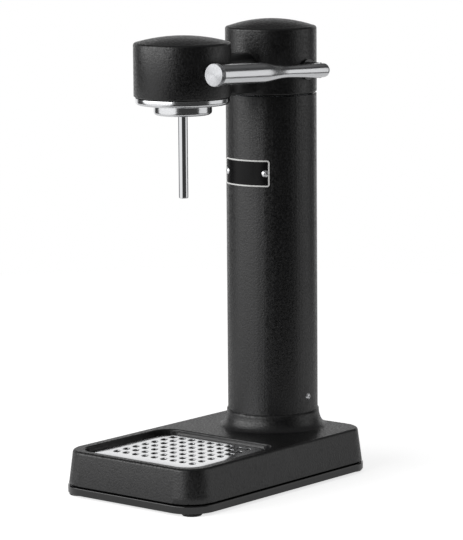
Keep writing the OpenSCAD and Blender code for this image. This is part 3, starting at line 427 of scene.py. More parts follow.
def punched_sheet_group():
    """Copies the tile to every place of a grid and joins the grid to the border."""
    tree, start = node_group("punched_sheet", {
        "Tile": "NodeSocketObject", "Columns": "NodeSocketInt", "Rows": "NodeSocketInt",
        "Width": "NodeSocketFloat", "Length": "NodeSocketFloat", "Shift": "NodeSocketVector",
        "Weld": "NodeSocketFloat", "Steel": "NodeSocketMaterial"})
    grid = add(tree, "GeometryNodeMeshGrid", {
        "Size X": start.outputs["Width"], "Size Y": start.outputs["Length"],
        "Vertices X": start.outputs["Columns"], "Vertices Y": start.outputs["Rows"]})
    shifted = add(tree, "GeometryNodeTransform", {"Geometry": grid.outputs["Mesh"],
                                                  "Translation": start.outputs["Shift"]})
    tile = add(tree, "GeometryNodeObjectInfo", {"Object": start.outputs["Tile"]})
    tiles = add(tree, "GeometryNodeInstanceOnPoints", {"Points": shifted.outputs["Geometry"],
                                                       "Instance": tile.outputs["Geometry"]})
    real = add(tree, "GeometryNodeRealizeInstances", {"Geometry": tiles.outputs["Instances"]})
    joined = add(tree, "GeometryNodeJoinGeometry", {"Geometry": real.outputs["Geometry"]})
    tree.links.new(start.outputs["Geometry"], joined.inputs["Geometry"])
    welded = add(tree, "GeometryNodeMergeByDistance", {"Geometry": joined.outputs["Geometry"],
                                                       "Distance": start.outputs["Weld"]})
    end_group(tree, welded.outputs["Geometry"], start.outputs["Steel"])
    return tree


sheet_steel = worked_metal("polished_stainless_sheet", STEEL_COLOUR, roughness=0.14, line_mm=0.8,
                           lines_along=LINES_ALONG_Y)
tile_shape = new_piece("punched_tile", punched_tile(), SHEET_SMOOTH_DEG)
border = new_piece("punched_drip_grille", folded_border(), SHEET_SMOOTH_DEG)
grille = run_group(border, punched_sheet_group(), {
    "Tile": tile_shape, "Columns": HOLE_COUNT[0], "Rows": HOLE_COUNT[1],
    "Width": (HOLE_COUNT[0] - 1) * HOLE_STEP[0] * MM, "Length": (HOLE_COUNT[1] - 1) * HOLE_STEP[1] * MM,
    "Shift": (0.0, HOLE_SHIFT * MM, 0.0), "Weld": WELD, "Steel": sheet_steel})
bpy.data.objects.remove(tile_shape)
grille_shape = bmesh.new()
grille_shape.from_mesh(grille.data)
bmesh.ops.translate(grille_shape, verts=grille_shape.verts, vec=Vector((0.0, GRILLE_Y, GRILLE_TOP)) * MM)
closed(grille_shape)
put_shape(grille.data, grille_shape, GRILLE_SMOOTH_DEG)
stand_for(grille, "drip_grille", sheet_steel)
smooth_copy("grille_rests", "grille_pads", rubber)

# Column
# A drawn aluminium tube in the same powder coat as the base. It stands over the collar's spigot
# and hides the gas cylinder.
smooth_copy("coated_column", "column_tube", coat)

# Badge
# A thin black enamelled plate, bent to the column, with a pale border raised at its edge.
# It is bare. A domed steel screw near each end fixes it to the tube.
BADGE_R = 42.1
BADGE_BACK_R = 41.35
BADGE_H = 24.0
BADGE_ARC = 73.0
BADGE_CORNER_R = 2.2
BADGE_MID_Z = 277.9
COLUMN_Y = 79.8
BORDER_W = 1.3
BORDER_HIGH = 0.12
BORDER_EDGE = 0.12
BORDER_STEPS = range(2, 6)
BACK_INSET = 0.6
FACE_INSETS = (0.45, 0.75)
BADGE_COUNTS = (56, 24)
BADGE_CORNER_STEPS = 5
BADGE_SMOOTH_DEG = 30.0
BORDER_COLOUR = "#fafaf8"
ENAMEL_COLOUR = "#050506"


def bent(points):
    """Wraps points from a flat plate (along, up, radius) round the column, facing the front."""
    wrapped = []
    for along, up, radius in points:
        turn = along / BADGE_R
        wrapped.append((radius * math.sin(turn), COLUMN_Y - radius * math.cos(turn), BADGE_MID_Z + up))
    return wrapped


def badge_shape():
    """The plate in rings from its back, round its edge and border, to the middle of its face."""
    shape = bmesh.new()
    half_l = math.radians(BADGE_ARC / 2) * BADGE_R
    half_h = BADGE_H / 2
    border_top = BADGE_R + BORDER_HIGH
    steps = [(half_h, BADGE_BACK_R), (half_h * BACK_INSET, BADGE_BACK_R), (0.0, BADGE_BACK_R),
             (0.0, border_top - BORDER_EDGE), (BORDER_EDGE, border_top), (BORDER_W - BORDER_EDGE, border_top),
             (BORDER_W, BADGE_R)]
    steps += [(half_h * share, BADGE_R) for share in FACE_INSETS]
    steps.append((half_h, BADGE_R))
    rings = []
    for inset, radius in steps:
        corner = max(BADGE_CORNER_R - inset, 0.0)
        flat = rounded_loop(half_l - inset, half_h - inset, corner, *BADGE_COUNTS, BADGE_CORNER_STEPS,
                            radius)
        rings.append(add_loop(shape, bent(flat)))
    for k, (first, second) in enumerate(zip(rings, rings[1:])):
        before = len(shape.faces)
        bridge(shape, first, second)
        shape.faces.ensure_lookup_table()
        if k in BORDER_STEPS:
            for face in shape.faces[before:]:
                face.material_index = 1
    closed(shape)
    bmesh.ops.dissolve_degenerate(shape, edges=shape.edges, dist=WELD)
    return shape


badge_black = moulded("black_baked_enamel", ENAMEL_COLOUR, roughness=0.3, gloss=0.14)
border_pale = moulded("pale_printed_enamel", BORDER_COLOUR, roughness=0.3)
badge = new_piece("bare_badge", badge_shape(), BADGE_SMOOTH_DEG)
stand_for(badge, "badge_plate", badge_black, border_pale)

# Screws
# Domed stainless screws with a hexagon recess: one at each side of the column's foot, two on the
# badge. Their heads are turned, so light catches them as small bright caps.
HEX_R = 1.1
HEX_DEEP = 1.0
DOME_RISE = 1.4
DOME_STEPS = 6
SCREW_SIDES = 36
SCREW_SEAT = 0.3
SCREW_SMOOTH_DEG = 30.0
COLUMN_SCREW = {"head_r": 3.1, "z": 71.3, "out": 41.3, "turn": 90.0}
BADGE_SCREW = {"head_r": 3.1, "z": 277.9, "out": 42.1, "turn": 31.05}


def domed_head(head_r):
    """A dome with a hexagon recess, standing on height zero; its seat reaches a little below."""
    shape = bmesh.new()
    ball = (head_r ** 2 + DOME_RISE ** 2) / (2 * DOME_RISE)
    wide = math.asin(head_r / ball)
    top = math.asin(HEX_R / ball)
    turns = [2 * math.pi * i / SCREW_SIDES for i in range(SCREW_SIDES)]

    def ring(radius, z):
        return add_loop(shape, [(radius * math.cos(a), radius * math.sin(a), z) for a in turns])

    def hexagon(z):
        points = []
        for a in turns:
            reach = HEX_R * math.cos(math.pi / 6) / math.cos((a % (math.pi / 3)) - math.pi / 6)
            points.append((reach * math.cos(a), reach * math.sin(a), z))
        return add_loop(shape, points)

    rings = [ring(head_r, -SCREW_SEAT)]
    for step in range(DOME_STEPS + 1):
        a = wide + (top - wide) * step / DOME_STEPS
        rings.append(ring(ball * math.sin(a), DOME_RISE - ball + ball * math.cos(a)))
    rim = DOME_RISE - ball + ball * math.cos(top)
    rings.append(hexagon(rim))
    rings.append(hexagon(rim - HEX_DEEP))
    bridge_all(shape, rings)
    shape.faces.new(rings[-1])
    shape.faces.new(rings[0])
    closed(shape)
    return shape


def screw_group():
    """Sets one screw at each point, with its head along the point's own axis."""
    tree, start = node_group("screws_at_points", {
        "Screw": "NodeSocketObject", "Steel": "NodeSocketMaterial"})
    screw = add(tree, "GeometryNodeObjectInfo", {"Object": start.outputs["Screw"]})
    axis = add(tree, "GeometryNodeInputNamedAttribute", {"Name": "axis"}, data_type="FLOAT_VECTOR")
    turn = add(tree, "FunctionNodeAlignRotationToVector", {"Vector": axis.outputs["Attribute"]}, axis="Z")
    screws = add(tree, "GeometryNodeInstanceOnPoints", {
        "Points": start.outputs["Geometry"], "Instance": screw.outputs["Geometry"],
        "Rotation": turn.outputs["Rotation"]})
    end_group(tree, screws.outputs["Instances"], start.outputs["Steel"])
    return tree


screws_at_points = screw_group()
screw_steel = worked_metal("turned_stainless_screw", STEEL_COLOUR, roughness=0.34, line_mm=0.5,
                           lines_along=LINES_EVEN)


def around_column(turn, out, z):
    """A point on the column and its outward axis; the turn is from the front, in degrees."""
    a = math.radians(turn)
    axis = (math.sin(a), -math.cos(a), 0.0)
    return (out * axis[0], COLUMN_Y + out * axis[1], z), axis


def screw_pair(name, node, head_r, z, out, turn):
    """A screw at each side of the column's front, at the given turn, in a solid's place."""
    screw = new_piece("domed_screw", domed_head(head_r), SCREW_SMOOTH_DEG)
    places = [around_column(side, out, z) for side in (-turn, turn)]
    mesh = bpy.data.meshes.new(name)
    mesh.from_pydata([Vector(point) * MM for point, _ in places], [], [])
    axes = mesh.attributes.new("axis", "FLOAT_VECTOR", "POINT")
    for item, (_, axis) in zip(axes.data, places):
        item.vector = axis
    piece = run_group(link_piece(name, mesh), screws_at_points, {"Screw": screw, "Steel": screw_steel})
    bpy.data.objects.remove(screw)
    stand_for(piece, node, screw_steel)


screw_pair("column_foot_screws", "column_screws", **COLUMN_SCREW)
screw_pair("badge_fixing_screws", "badge_screws", **BADGE_SCREW)

# Head casting
# Rear cap, neck and front cup are one hollow casting in the same powder coat. It is screwed to a
# steel ring, which catches the light as a thin sliver in the gap above the column. The ring's colour
# is darkened as painted shade for that deep gap.
# Painted shade: the ring's steel is coloured dark to stand in for the shade deep in the gap under the cap.
RING_SHADE_COLOUR = "#6a6b6d"
CUP_Y = -43.6
CAP_R = 41.5
CUP_R = 41.5
UPRIGHT = 0.02
WALL_NEAR = 0.02


def true_walls(piece, walls):
    """Turns the shading of upright walls, each round an axis at (0, y), straight out from that axis."""
    mesh = piece.data
    normals = [Vector(corner.vector) for corner in mesh.corner_normals]
    for face in mesh.polygons:
        if abs(face.normal.z) > UPRIGHT:
            continue
        for y, r in walls:
            outs = [mesh.vertices[i].co.xy / MM - Vector((0.0, y)) for i in face.vertices]
            if all(abs(out.length - r) < WALL_NEAR for out in outs):
                for corner, out in zip(face.loop_indices, outs):
                    normals[corner] = out.normalized().to_3d()
    mesh.normals_split_custom_set(normals)


# This material carries the ring's painted shade.
shade_darkened_ring_steel = worked_metal("turned_steel_painted_shade", RING_SHADE_COLOUR, roughness=0.12, line_mm=0.5,
                          lines_along=LINES_EVEN)
head = smooth_copy("head_casting", "head_shell", coat)
head.modifiers.remove(head.modifiers["flat_faces"])
true_walls(head, [(COLUMN_Y, CAP_R), (CUP_Y, CUP_R)])
smooth_copy("column_top_ring", "column_ring", shade_darkened_ring_steel)

# Bottle side
# A wide ring under the cup and a narrower socket that takes the bottle's neck, both turned from
# stainless steel and polished to a mirror. The nozzle is a drawn and polished stainless tube.
LATHE_SIDES = 160
SLIM_SIDES = 64
TURNED_SMOOTH_DEG = 30.0
SPLASH = {"out": 41.8, "in": 25.9, "low": 346.3, "high": 352.3, "web": 2.0, "round": 3.2, "edge": 0.6}
SOCKET = {"out": 25.8, "in": 22.3, "low": 337.2, "seat": 352.3, "top": 354.8, "flange": 33.8,
          "round": 3.0, "edge": 1.0}
LUG = {"in": 2.0, "low": 339.2, "high": 342.2, "slope": 1.0, "root": 1.0, "arc": 45.0, "steps": 10,
       "starts": (0.0, 120.0, 240.0)}
NOZZLE = {"r": 4.25, "bore": 1.5, "tip": 263.2, "top": 356.3, "edge": 1.0}
LINES_ROUND_Z = (0.05, 0.05, 1.0)
LINES_ALONG_Z = (1.0, 1.0, 0.05)


def arc(cx, cy, r, start, end, steps):
    """Points on an arc, in degrees."""
    turns = [math.radians(start + (end - start) * i / steps) for i in range(steps + 1)]
    return [(cx + r * math.cos(a), cy + r * math.sin(a)) for a in turns]


def lathe(name, profile, place, sides=LATHE_SIDES, looped=False):
    """Turns a profile of (radius, height) points, in millimetres, about its axis and puts it in place."""
    shape = bmesh.new()
    turns = [2 * math.pi * i / sides for i in range(sides)]
    rings = []
    for radius, z in profile:
        if radius < WELD:
            rings.append([shape.verts.new((0.0, 0.0, z * MM))])
        else:
            rings.append(add_loop(shape, [(radius * math.cos(a), radius * math.sin(a), z) for a in turns]))
    pairs = list(zip(rings, rings[1:]))
    if looped:
        pairs.append((rings[-1], rings[0]))
    for first, second in pairs:
        first = first * sides if len(first) == 1 else first
        second = second * sides if len(second) == 1 else second
        bridge(shape, first, second)
    closed(shape)
    shape.transform(place)
    return new_piece(name, shape, TURNED_SMOOTH_DEG)


mirror_steel = worked_metal("mirror_polished_stainless", STEEL_COLOUR, roughness=0.16, line_mm=0.7,
                            lines_along=LINES_ROUND_Z)
tube_steel = worked_metal("drawn_polished_stainless_tube", STEEL_COLOUR, roughness=0.08, line_mm=0.7,
                          lines_along=LINES_ALONG_Z)
at_cup = Matrix.Translation(Vector((0.0, CUP_Y, 0.0)) * MM)
splash = [(SPLASH["in"], SPLASH["low"])]
splash += arc(SPLASH["out"] - SPLASH["round"], SPLASH["low"] + SPLASH["round"], SPLASH["round"],
              -90, 0, steps=12)
splash += arc(SPLASH["out"] - SPLASH["edge"], SPLASH["high"] - SPLASH["edge"], SPLASH["edge"],
              0, 90, steps=4)
splash += [(SPLASH["out"] - SPLASH["web"], SPLASH["high"]),
           (SPLASH["out"] - SPLASH["web"], SPLASH["low"] + SPLASH["web"]),
           (SPLASH["in"], SPLASH["low"] + SPLASH["web"])]
stand_for(lathe("polished_splash_ring", splash, at_cup, looped=True), "splash_ring", mirror_steel)
socket_profile = [(SOCKET["in"], SOCKET["low"] + SOCKET["edge"]),
                  (SOCKET["in"] + SOCKET["edge"], SOCKET["low"])]
socket_profile += arc(SOCKET["out"] - SOCKET["round"], SOCKET["low"] + SOCKET["round"], SOCKET["round"],
                      -90, 0, steps=10)
socket_profile += [(SOCKET["out"], SOCKET["seat"]), (SOCKET["flange"], SOCKET["seat"]),
                   (SOCKET["flange"], SOCKET["top"]), (SOCKET["in"], SOCKET["top"])]
socket = lathe("polished_bottle_socket", socket_profile, at_cup, looped=True)
lug_tip, lug_root = SOCKET["in"] - LUG["in"], SOCKET["in"] + LUG["root"]
lug_profile = [(lug_tip, LUG["low"] + LUG["slope"]), (lug_root, LUG["low"]),
               (lug_root, LUG["high"]), (lug_tip, LUG["high"] - LUG["slope"])]
socket_shape = bmesh.new()
socket_shape.from_mesh(socket.data)
for start in LUG["starts"]:
    rings = []
    for step in range(LUG["steps"] + 1):
        a = math.radians(start + LUG["arc"] * step / LUG["steps"])
        rings.append(add_loop(socket_shape, [(r * math.cos(a), CUP_Y + r * math.sin(a), z)
                                             for r, z in lug_profile]))
    for first, second in zip(rings, rings[1:]):
        bridge(socket_shape, second, first)
    socket_shape.faces.new(rings[0])
    socket_shape.faces.new(rings[-1][::-1])
bmesh.ops.recalc_face_normals(socket_shape, faces=socket_shape.faces)
put_shape(socket.data, socket_shape, TURNED_SMOOTH_DEG)
stand_for(socket, "bottle_socket", mirror_steel)
nozzle = [(NOZZLE["bore"], NOZZLE["tip"])]
nozzle += arc(NOZZLE["r"] - NOZZLE["edge"], NOZZLE["tip"] + NOZZLE["edge"], NOZZLE["edge"],
              -90, 0, steps=6)
nozzle += [(NOZZLE["r"], NOZZLE["top"]), (NOZZLE["bore"], NOZZLE["top"])]
stand_for(lathe("polished_nozzle", nozzle, at_cup, sides=SLIM_SIDES, looped=True), "nozzle_tube", tube_steel)
smooth_copy("bottle_gasket", "bottle_seal", rubber)

# Lever
# One turned stainless bar: a thick grip, a long taper to a waist, and a round tail over the axle.
# Its end is a separate turned disc, so the tool marks on its face run in rings. Its steel spindle
# enters the cap through a moulded collar.
LEVER_PLACE = (56.5, 79.8, 370.2)
LEVER_TILT = 2.3
LEVER_LEN = 148.4
TAIL = {"d": 12.8, "back": 10.4}
WAIST = {"d": 10.9, "at": 47.4}
GRIP = {"d": 18.0, "at": 86.0}
GRIP_EDGE = {"back": 1.2, "cut": 0.3}
NECK = {"deep": 0.8, "wide": 0.8}
LEVER_END = {"d": 19.7, "at": 143.4, "back_edge": 0.3, "edge": 0.5, "edge_middle": 0.15}
END_LINE = {"from": 2.0, "to": 2.75, "deep": 0.35, "slope": 0.15}
END_CENTRE = {"r": 0.6, "rim": 0.35, "deep": 0.4}
BOSS = {"r": 7.0, "from": 44.0, "to": 56.5, "edge": 0.4}
LEVER_SIDES = 96
TAIL_START = -84
TAPER_STEPS = 28
RING_PITCH_MM = 0.5
RING_HIGH_MM = 0.04
RING_BUMP = 0.5
FACED_ROUGH = (0.4, 0.5)
# Painted shade: the disc's steel is coloured darker than the bar's, so that its face under the wide lamp
# stays grey.
FACED_SHADED_COLOUR = "#aeafb1"
FACED_PULL = 0.9
ACROSS_RINGS = 0.25
WAVE_TURN = math.tau / 20.0

lever_turn = Matrix.Rotation(math.radians(90.0 - LEVER_TILT), 4, "X")
on_lever = Matrix.Translation(Vector(LEVER_PLACE) * MM) @ lever_turn


def eased(a, b, start, end, steps):
    """Radius and height points that ease from one diameter to another."""
    points = []
    for i in range(steps + 1):
        t = i / steps
        points.append(((a + (b - a) * (1 - math.cos(math.pi * t)) / 2) / 2, start + (end - start) * t))
    return points


def ring_turned_steel():
    """A faced stainless disc: the tool's rings bend the light into bright and dark fans.
    Its steel is coloured darker than the bar's as painted shade, so that its face under the wide lamp stays
    grey.
    Real rings are finer than a tenth of a millimetre, and are drawn coarser so that they show."""
    material, tree, shader = new_material("faced_stainless_disc")
    place = add(tree, "ShaderNodeTexCoord").outputs["Object"]
    centred = add(tree, "ShaderNodeVectorMath", {0: place, 1: Vector(LEVER_PLACE) * MM}, operation="SUBTRACT")
    level = add(tree, "ShaderNodeVectorRotate", {
        "Vector": centred.outputs["Vector"], "Axis": (1.0, 0.0, 0.0),
        "Angle": math.radians(LEVER_TILT - 90.0)}, rotation_type="AXIS_ANGLE")
    rings = add(tree, "ShaderNodeTexWave", {
        "Vector": level.outputs["Vector"], "Scale": per_mm(RING_PITCH_MM) * WAVE_TURN, "Distortion": 0.0},
        wave_type="RINGS", rings_direction="Z", wave_profile="SIN")
    bump = add(tree, "ShaderNodeBump", {
        "Strength": RING_BUMP, "Distance": RING_HIGH_MM / 1000, "Height": rings.outputs["Fac"]})
    tree.links.new(bump.outputs["Normal"], shader.inputs["Normal"])
    rough = add(tree, "ShaderNodeMapRange", {
        "Value": rings.outputs["Fac"], "To Min": FACED_ROUGH[0], "To Max": FACED_ROUGH[1]})
    tree.links.new(rough.outputs["Result"], shader.inputs["Roughness"])
    round_axis = add(tree, "ShaderNodeTangent", direction_type="RADIAL", axis="Y")
    tree.links.new(round_axis.outputs["Tangent"], shader.inputs["Tangent"])
    shader.inputs["Anisotropic"].default_value = FACED_PULL
    shader.inputs["Anisotropic Rotation"].default_value = ACROSS_RINGS
    shader.inputs["Base Color"].default_value = linear(FACED_SHADED_COLOUR)
    shader.inputs["Metallic"].default_value = 1.0
    return material


lever_steel = worked_metal("fine_turned_stainless_bar", STEEL_COLOUR, roughness=0.2, line_mm=0.6,
                           lines_along=LINES_ALONG_Y)
lever_profile = [(0.0, -TAIL["back"])]
lever_profile += arc(0.0, TAIL["d"] / 2 - TAIL["back"], TAIL["d"] / 2, TAIL_START, 0, steps=12)
lever_profile += eased(TAIL["d"], WAIST["d"], 0.0, WAIST["at"], TAPER_STEPS)
lever_profile += eased(WAIST["d"], GRIP["d"], WAIST["at"], GRIP["at"], TAPER_STEPS)[1:]
grip_r, end_r = GRIP["d"] / 2, LEVER_END["d"] / 2
neck_r = grip_r - NECK["deep"]
end_back = LEVER_END["at"]
lever_profile += [(grip_r, end_back - GRIP_EDGE["back"]),
                  (grip_r - GRIP_EDGE["cut"], end_back - GRIP_EDGE["back"] + GRIP_EDGE["cut"]),
                  (neck_r, end_back - NECK["wide"]), (neck_r, end_back), (0.0, end_back)]
lever = lathe("turned_lever_bar", lever_profile, on_lever, sides=LEVER_SIDES)
boss_profile = [(0.0, BOSS["from"]), (BOSS["r"] - BOSS["edge"], BOSS["from"]),
                (BOSS["r"], BOSS["from"] + BOSS["edge"]), (BOSS["r"], BOSS["to"]), (0.0, BOSS["to"])]
across = Matrix.Rotation(math.radians(90.0), 4, "Y")
on_axle = Matrix.Translation(Vector((0.0, *LEVER_PLACE[1:])) * MM) @ across
boss = lathe("lever_boss", boss_profile, on_axle, sides=SLIM_SIDES)
joined = lever.modifiers.new("boss", "BOOLEAN")
joined.operation = "UNION"
joined.object = boss
joined.solver = "EXACT"
whole_lever = bpy.data.meshes.new_from_object(lever.evaluated_get(bpy.context.evaluated_depsgraph_get()))
lever.modifiers.remove(joined)
lever.data = whole_lever
bpy.data.objects.remove(boss)
stand_for(lever, "lever_rod", lever_steel)
line_r = end_r - END_LINE["deep"]
disc_profile = [(0.0, end_back), (end_r - LEVER_END["back_edge"], end_back),
                (end_r, end_back + LEVER_END["back_edge"]), (end_r, end_back + END_LINE["from"]),
                (line_r, end_back + END_LINE["from"] + END_LINE["slope"]),
                (line_r, end_back + END_LINE["to"] - END_LINE["slope"]), (end_r, end_back + END_LINE["to"]),
                (end_r, LEVER_LEN - LEVER_END["edge"]),
                (end_r - LEVER_END["edge_middle"], LEVER_LEN - LEVER_END["edge_middle"]),
                (end_r - LEVER_END["edge"], LEVER_LEN), (END_CENTRE["r"], LEVER_LEN - END_CENTRE["rim"]),
                (0.0, LEVER_LEN - END_CENTRE["deep"])]
faced_steel = ring_turned_steel()
stand_for(lathe("faced_lever_end", disc_profile, on_lever, sides=LEVER_SIDES), "lever_end_cap", faced_steel)
smooth_copy("axle_collar", "axle_flange", abs_black)
smooth_copy("lever_spindle", "lever_axle", screw_steel)

# Gas cylinder
# A drawn aluminium bottle, satin from the drawing die, with a brass valve screwed into its neck.
# A steel spring holds the valve's pin shut. A moulded guide under the column keeps it upright.
CYLINDER_COLOUR = "#a3a7ab"
BRASS_COLOUR = "#c8a25a"
GUIDE_COLOUR = "#5e6062"
WIRE_COLOUR = "#b4b6b8"
PIN_SPRING = {"foot": 295.4, "keep": 0.724}


def press_spring(piece, joint, y, foot, keep):
    """Gives a spring its own copy of its mesh; it does not shorten the spring.
    keep is not used.
    """
    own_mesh(piece)


drawn_alloy = worked_metal("satin_drawn_aluminium", CYLINDER_COLOUR, roughness=0.34, line_mm=0.6,
                           lines_along=LINES_ALONG_Z)
brass = worked_metal("machined_brass", BRASS_COLOUR, roughness=0.26, line_mm=0.5, lines_along=LINES_EVEN)
acetal = moulded("grey_moulded_acetal", GUIDE_COLOUR, roughness=0.46)
plain_steel = worked_metal("drawn_steel_wire", WIRE_COLOUR, roughness=0.3, line_mm=0.5,
                           lines_along=LINES_EVEN)
smooth_copy("gas_cylinder", "cylinder_bottle", drawn_alloy)
smooth_copy("gas_cylinder_valve", "cylinder_valve", brass)
smooth_copy("gas_valve_pin", "valve_pin", brass)
pin_spring = smooth_copy("gas_valve_spring", "valve_spring", plain_steel)
press_spring(pin_spring, "pin_press", COLUMN_Y, **PIN_SPRING)
smooth_copy("gas_cylinder_guide", "cylinder_guide", acetal)

# Valve and lever works
# A machined aluminium block in the cap takes the cylinder; a steel plunger in it opens the gas.
# The lever's axle turns in brass bushes on a folded bracket, and its cam presses the plunger.
BLOCK_COLOUR = "#c2c4c6"
PLUNGER_SPRING = {"foot": 351.4, "keep": 0.637}

machined_alloy = worked_metal("machined_aluminium", BLOCK_COLOUR, roughness=0.3, line_mm=0.7,
                              lines_along=LINES_ALONG_Y)
smooth_copy("gas_valve_block", "valve_block", machined_alloy)
smooth_copy("gas_inlet_gasket", "cylinder_seal", rubber)
smooth_copy("plunger_gasket", "plunger_seal", rubber)
smooth_copy("brass_axle_bushes", "axle_bushes", brass)
for node in ("plunger", "axle_bracket", "axle_clip", "cam", "return_spring"):
    smooth_copy("steel_" + node, node, plain_steel)
plunger_spring = smooth_copy("steel_plunger_spring", "plunger_spring", plain_steel)
press_spring(plunger_spring, "plunger_press", COLUMN_Y, **PLUNGER_SPRING)

# Gas line and relief valve
# A nylon hose with a brass nut at each end carries the gas to the moulded nozzle body. The relief
# valve beside it is turned brass, with a sprung steel poppet.
HOSE_COLOUR = "#4c4e50"
RELIEF_SPRING = {"foot": 395.2, "keep": 0.846}

nylon = moulded("grey_extruded_nylon", HOSE_COLOUR, roughness=0.38)
smooth_copy("nylon_gas_hose", "gas_hose", nylon)
smooth_copy("brass_hose_nuts", "hose_nuts", brass)
smooth_copy("moulded_nozzle_body", "nozzle_body", acetal)
smooth_copy("brass_relief_valve", "relief_valve", brass)
relief_spring = smooth_copy("steel_relief_spring", "relief_spring", plain_steel)
press_spring(relief_spring, "relief_open", CUP_Y, **RELIEF_SPRING)
smooth_copy("steel_relief_poppet", "relief_poppet", plain_steel)

# Hidden screws
# Plain stainless machine screws that hold the bottom plate, head, nozzle body, valve block,
# bracket and cam. Only those of the bottom plate show, from below.
for node in ("base_screws", "head_screws", "nozzle_screws", "valve_screws", "bracket_screws", "cam_screw"):
    smooth_copy("stainless_" + node, node, screw_steel)

# Studio
# A white room: a pale floor, a wide soft lamp on the left and a weaker one on the right. Polished
# steel sees a white backdrop, a white wall on the wide lamp's side and a dim ceiling. All else that
# it sees of the room is dark.
FLOOR_RADIUS = 0.8
FLOOR_SIDES = 96
FLOOR_BACK = 0.5
FLOOR_COLOUR = "#fafafa"
FLOOR_LIFT = 0.72
FLOOR_MIRRORED = 0.4
AMBIENT = 0.2
DARK_SIDE = 0.05
OVERHEAD = 0.22
BACKDROP_EDGE = (0.68, 0.82)
BACKDROP_TOP = (0.26, 0.42)
WALL_EDGE = (0.68, 0.8)
OVERHEAD_EDGE = (0.5, 0.75)
WHITE = (1.0, 1.0, 1.0, 1.0)
AIM = Vector((0.0, 0.0, 0.2))
KEY = {"turn": -66.0, "lift": 19.0, "away": 1.7, "wide": 2.8, "tall": 1.0, "power": 23.0}
FILL = {"turn": 89.0, "lift": 6.0, "away": 1.7, "wide": 1.4, "tall": 1.2, "power": 4.2}

view_turn = math.radians(CAMERA_TURN[2])


def around(turn, lift):
    """The direction from the object that is turn degrees from the camera, towards the picture's right,
    and lift degrees up."""
    angle = view_turn + math.radians(turn)
    rise = math.radians(lift)
    return Vector((math.sin(angle) * math.cos(rise), -math.cos(angle) * math.cos(rise), math.sin(rise)))


def soft_lamp(name, turn, lift, away, wide, tall, power):
    """A flat lamp that faces the object."""
    lamp = bpy.data.objects.new(name, bpy.data.lights.new(name, "AREA"))
    bpy.context.scene.collection.objects.link(lamp)
    lamp.data.shape = "RECTANGLE"
    lamp.data.size = wide
    lamp.data.size_y = tall
    lamp.data.energy = power
    back = around(turn, lift)
    lamp.location = AIM + back * away
    lamp.rotation_euler = back.to_track_quat("Z", "Y").to_euler()


soft_lamp("key_lamp", **KEY)
soft_lamp("fill_lamp", **FILL)

floor_mesh = bpy.data.meshes.new("floor")
floor_shape = bmesh.new()
bmesh.ops.create_circle(floor_shape, cap_ends=True, segments=FLOOR_SIDES, radius=FLOOR_RADIUS,
                        matrix=Matrix.Translation(-around(0.0, 0.0) * FLOOR_BACK))
floor_shape.to_mesh(floor_mesh)
floor_shape.free()
floor = link_piece("floor", floor_mesh)
floor_material, floor_tree, floor_shader = new_material("white_floor")
floor_path = add(floor_tree, "ShaderNodeLightPath")
floor_shader.inputs["Base Color"].default_value = linear(FLOOR_COLOUR)
floor_shader.inputs["Roughness"].default_value = 1.0
floor_shader.inputs["Specular IOR Level"].default_value = 0.0
floor_shader.inputs["Emission Color"].default_value = WHITE
in_metal = add(floor_tree, "ShaderNodeMath", {0: floor_path.outputs["Is Glossy Ray"], 1: FLOOR_MIRRORED},
               operation="MULTIPLY")
seen_floor = add(floor_tree, "ShaderNodeMath", {0: floor_path.outputs["Is Camera Ray"],
                                                1: in_metal.outputs["Value"]}, operation="MAXIMUM")
floor_glow = add(floor_tree, "ShaderNodeMath", {0: seen_floor.outputs["Value"], 1: FLOOR_LIFT},
                 operation="MULTIPLY")
floor_tree.links.new(floor_glow.outputs["Value"], floor_shader.inputs["Emission Strength"])
floor.data.materials.append(floor_material)

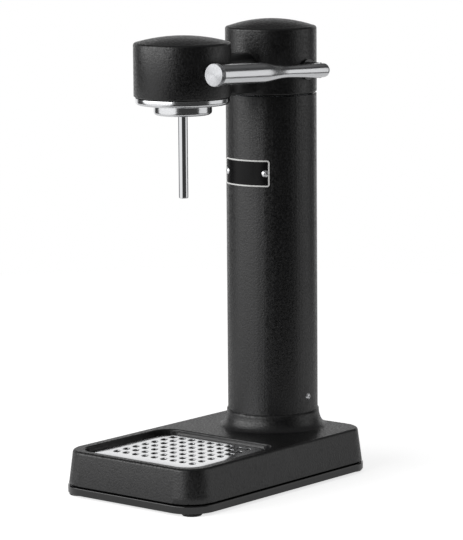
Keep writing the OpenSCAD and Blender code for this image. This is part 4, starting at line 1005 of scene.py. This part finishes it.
world = bpy.data.worlds.new("white_studio")
bpy.context.scene.world = world
world.use_nodes = True
sky = world.node_tree
sky.nodes.clear()
rays = add(sky, "ShaderNodeLightPath")
toward = add(sky, "ShaderNodeTexCoord").outputs["Generated"]
behind = add(sky, "ShaderNodeVectorMath", {0: toward, 1: -around(0.0, 0.0)}, operation="DOT_PRODUCT")
backdrop = add(sky, "ShaderNodeMapRange", {
    "Value": behind.outputs["Value"], "From Min": BACKDROP_EDGE[0], "From Max": BACKDROP_EDGE[1]},
    interpolation_type="SMOOTHSTEP")
height = add(sky, "ShaderNodeSeparateXYZ", {"Vector": toward})
under_top = add(sky, "ShaderNodeMapRange", {
    "Value": height.outputs["Z"], "From Min": BACKDROP_TOP[0], "From Max": BACKDROP_TOP[1],
    "To Min": 1.0, "To Max": 0.0}, interpolation_type="SMOOTHSTEP")
screen = add(sky, "ShaderNodeMath", {0: backdrop.outputs["Result"], 1: under_top.outputs["Result"]},
             operation="MULTIPLY")
mirror = add(sky, "ShaderNodeMath",
             {0: rays.outputs["Is Glossy Ray"], 1: rays.outputs["Is Transmission Ray"]}, operation="MAXIMUM")
beside = add(sky, "ShaderNodeVectorMath", {0: toward, 1: around(KEY["turn"], 0.0)}, operation="DOT_PRODUCT")
wall = add(sky, "ShaderNodeMapRange", {
    "Value": beside.outputs["Value"], "From Min": WALL_EDGE[0], "From Max": WALL_EDGE[1]},
    interpolation_type="SMOOTHSTEP")
white = add(sky, "ShaderNodeMath", {0: screen.outputs["Value"], 1: wall.outputs["Result"]},
            operation="MAXIMUM")
overhead = add(sky, "ShaderNodeMapRange", {
    "Value": height.outputs["Z"], "From Min": OVERHEAD_EDGE[0], "From Max": OVERHEAD_EDGE[1],
    "To Min": DARK_SIDE, "To Max": OVERHEAD}, interpolation_type="SMOOTHSTEP")
room = add(sky, "ShaderNodeMath", {0: white.outputs["Value"], 1: overhead.outputs["Result"]},
           operation="MAXIMUM")
mirrored = add(sky, "ShaderNodeMath", {0: room.outputs["Value"], 1: mirror.outputs["Value"]},
               operation="MULTIPLY")
seen = add(sky, "ShaderNodeMath", {0: mirrored.outputs["Value"], 1: rays.outputs["Is Camera Ray"]},
           operation="MAXIMUM")
diffuse = add(sky, "ShaderNodeMath", {0: rays.outputs["Is Diffuse Ray"], 1: AMBIENT}, operation="MULTIPLY")
level = add(sky, "ShaderNodeMath", {0: seen.outputs["Value"], 1: diffuse.outputs["Value"]},
            operation="MAXIMUM")
glow = add(sky, "ShaderNodeBackground", {"Color": WHITE, "Strength": level.outputs["Value"]})
add(sky, "ShaderNodeOutputWorld", {"Surface": glow.outputs["Background"]})
bpy.context.scene.view_settings.view_transform = "Standard"
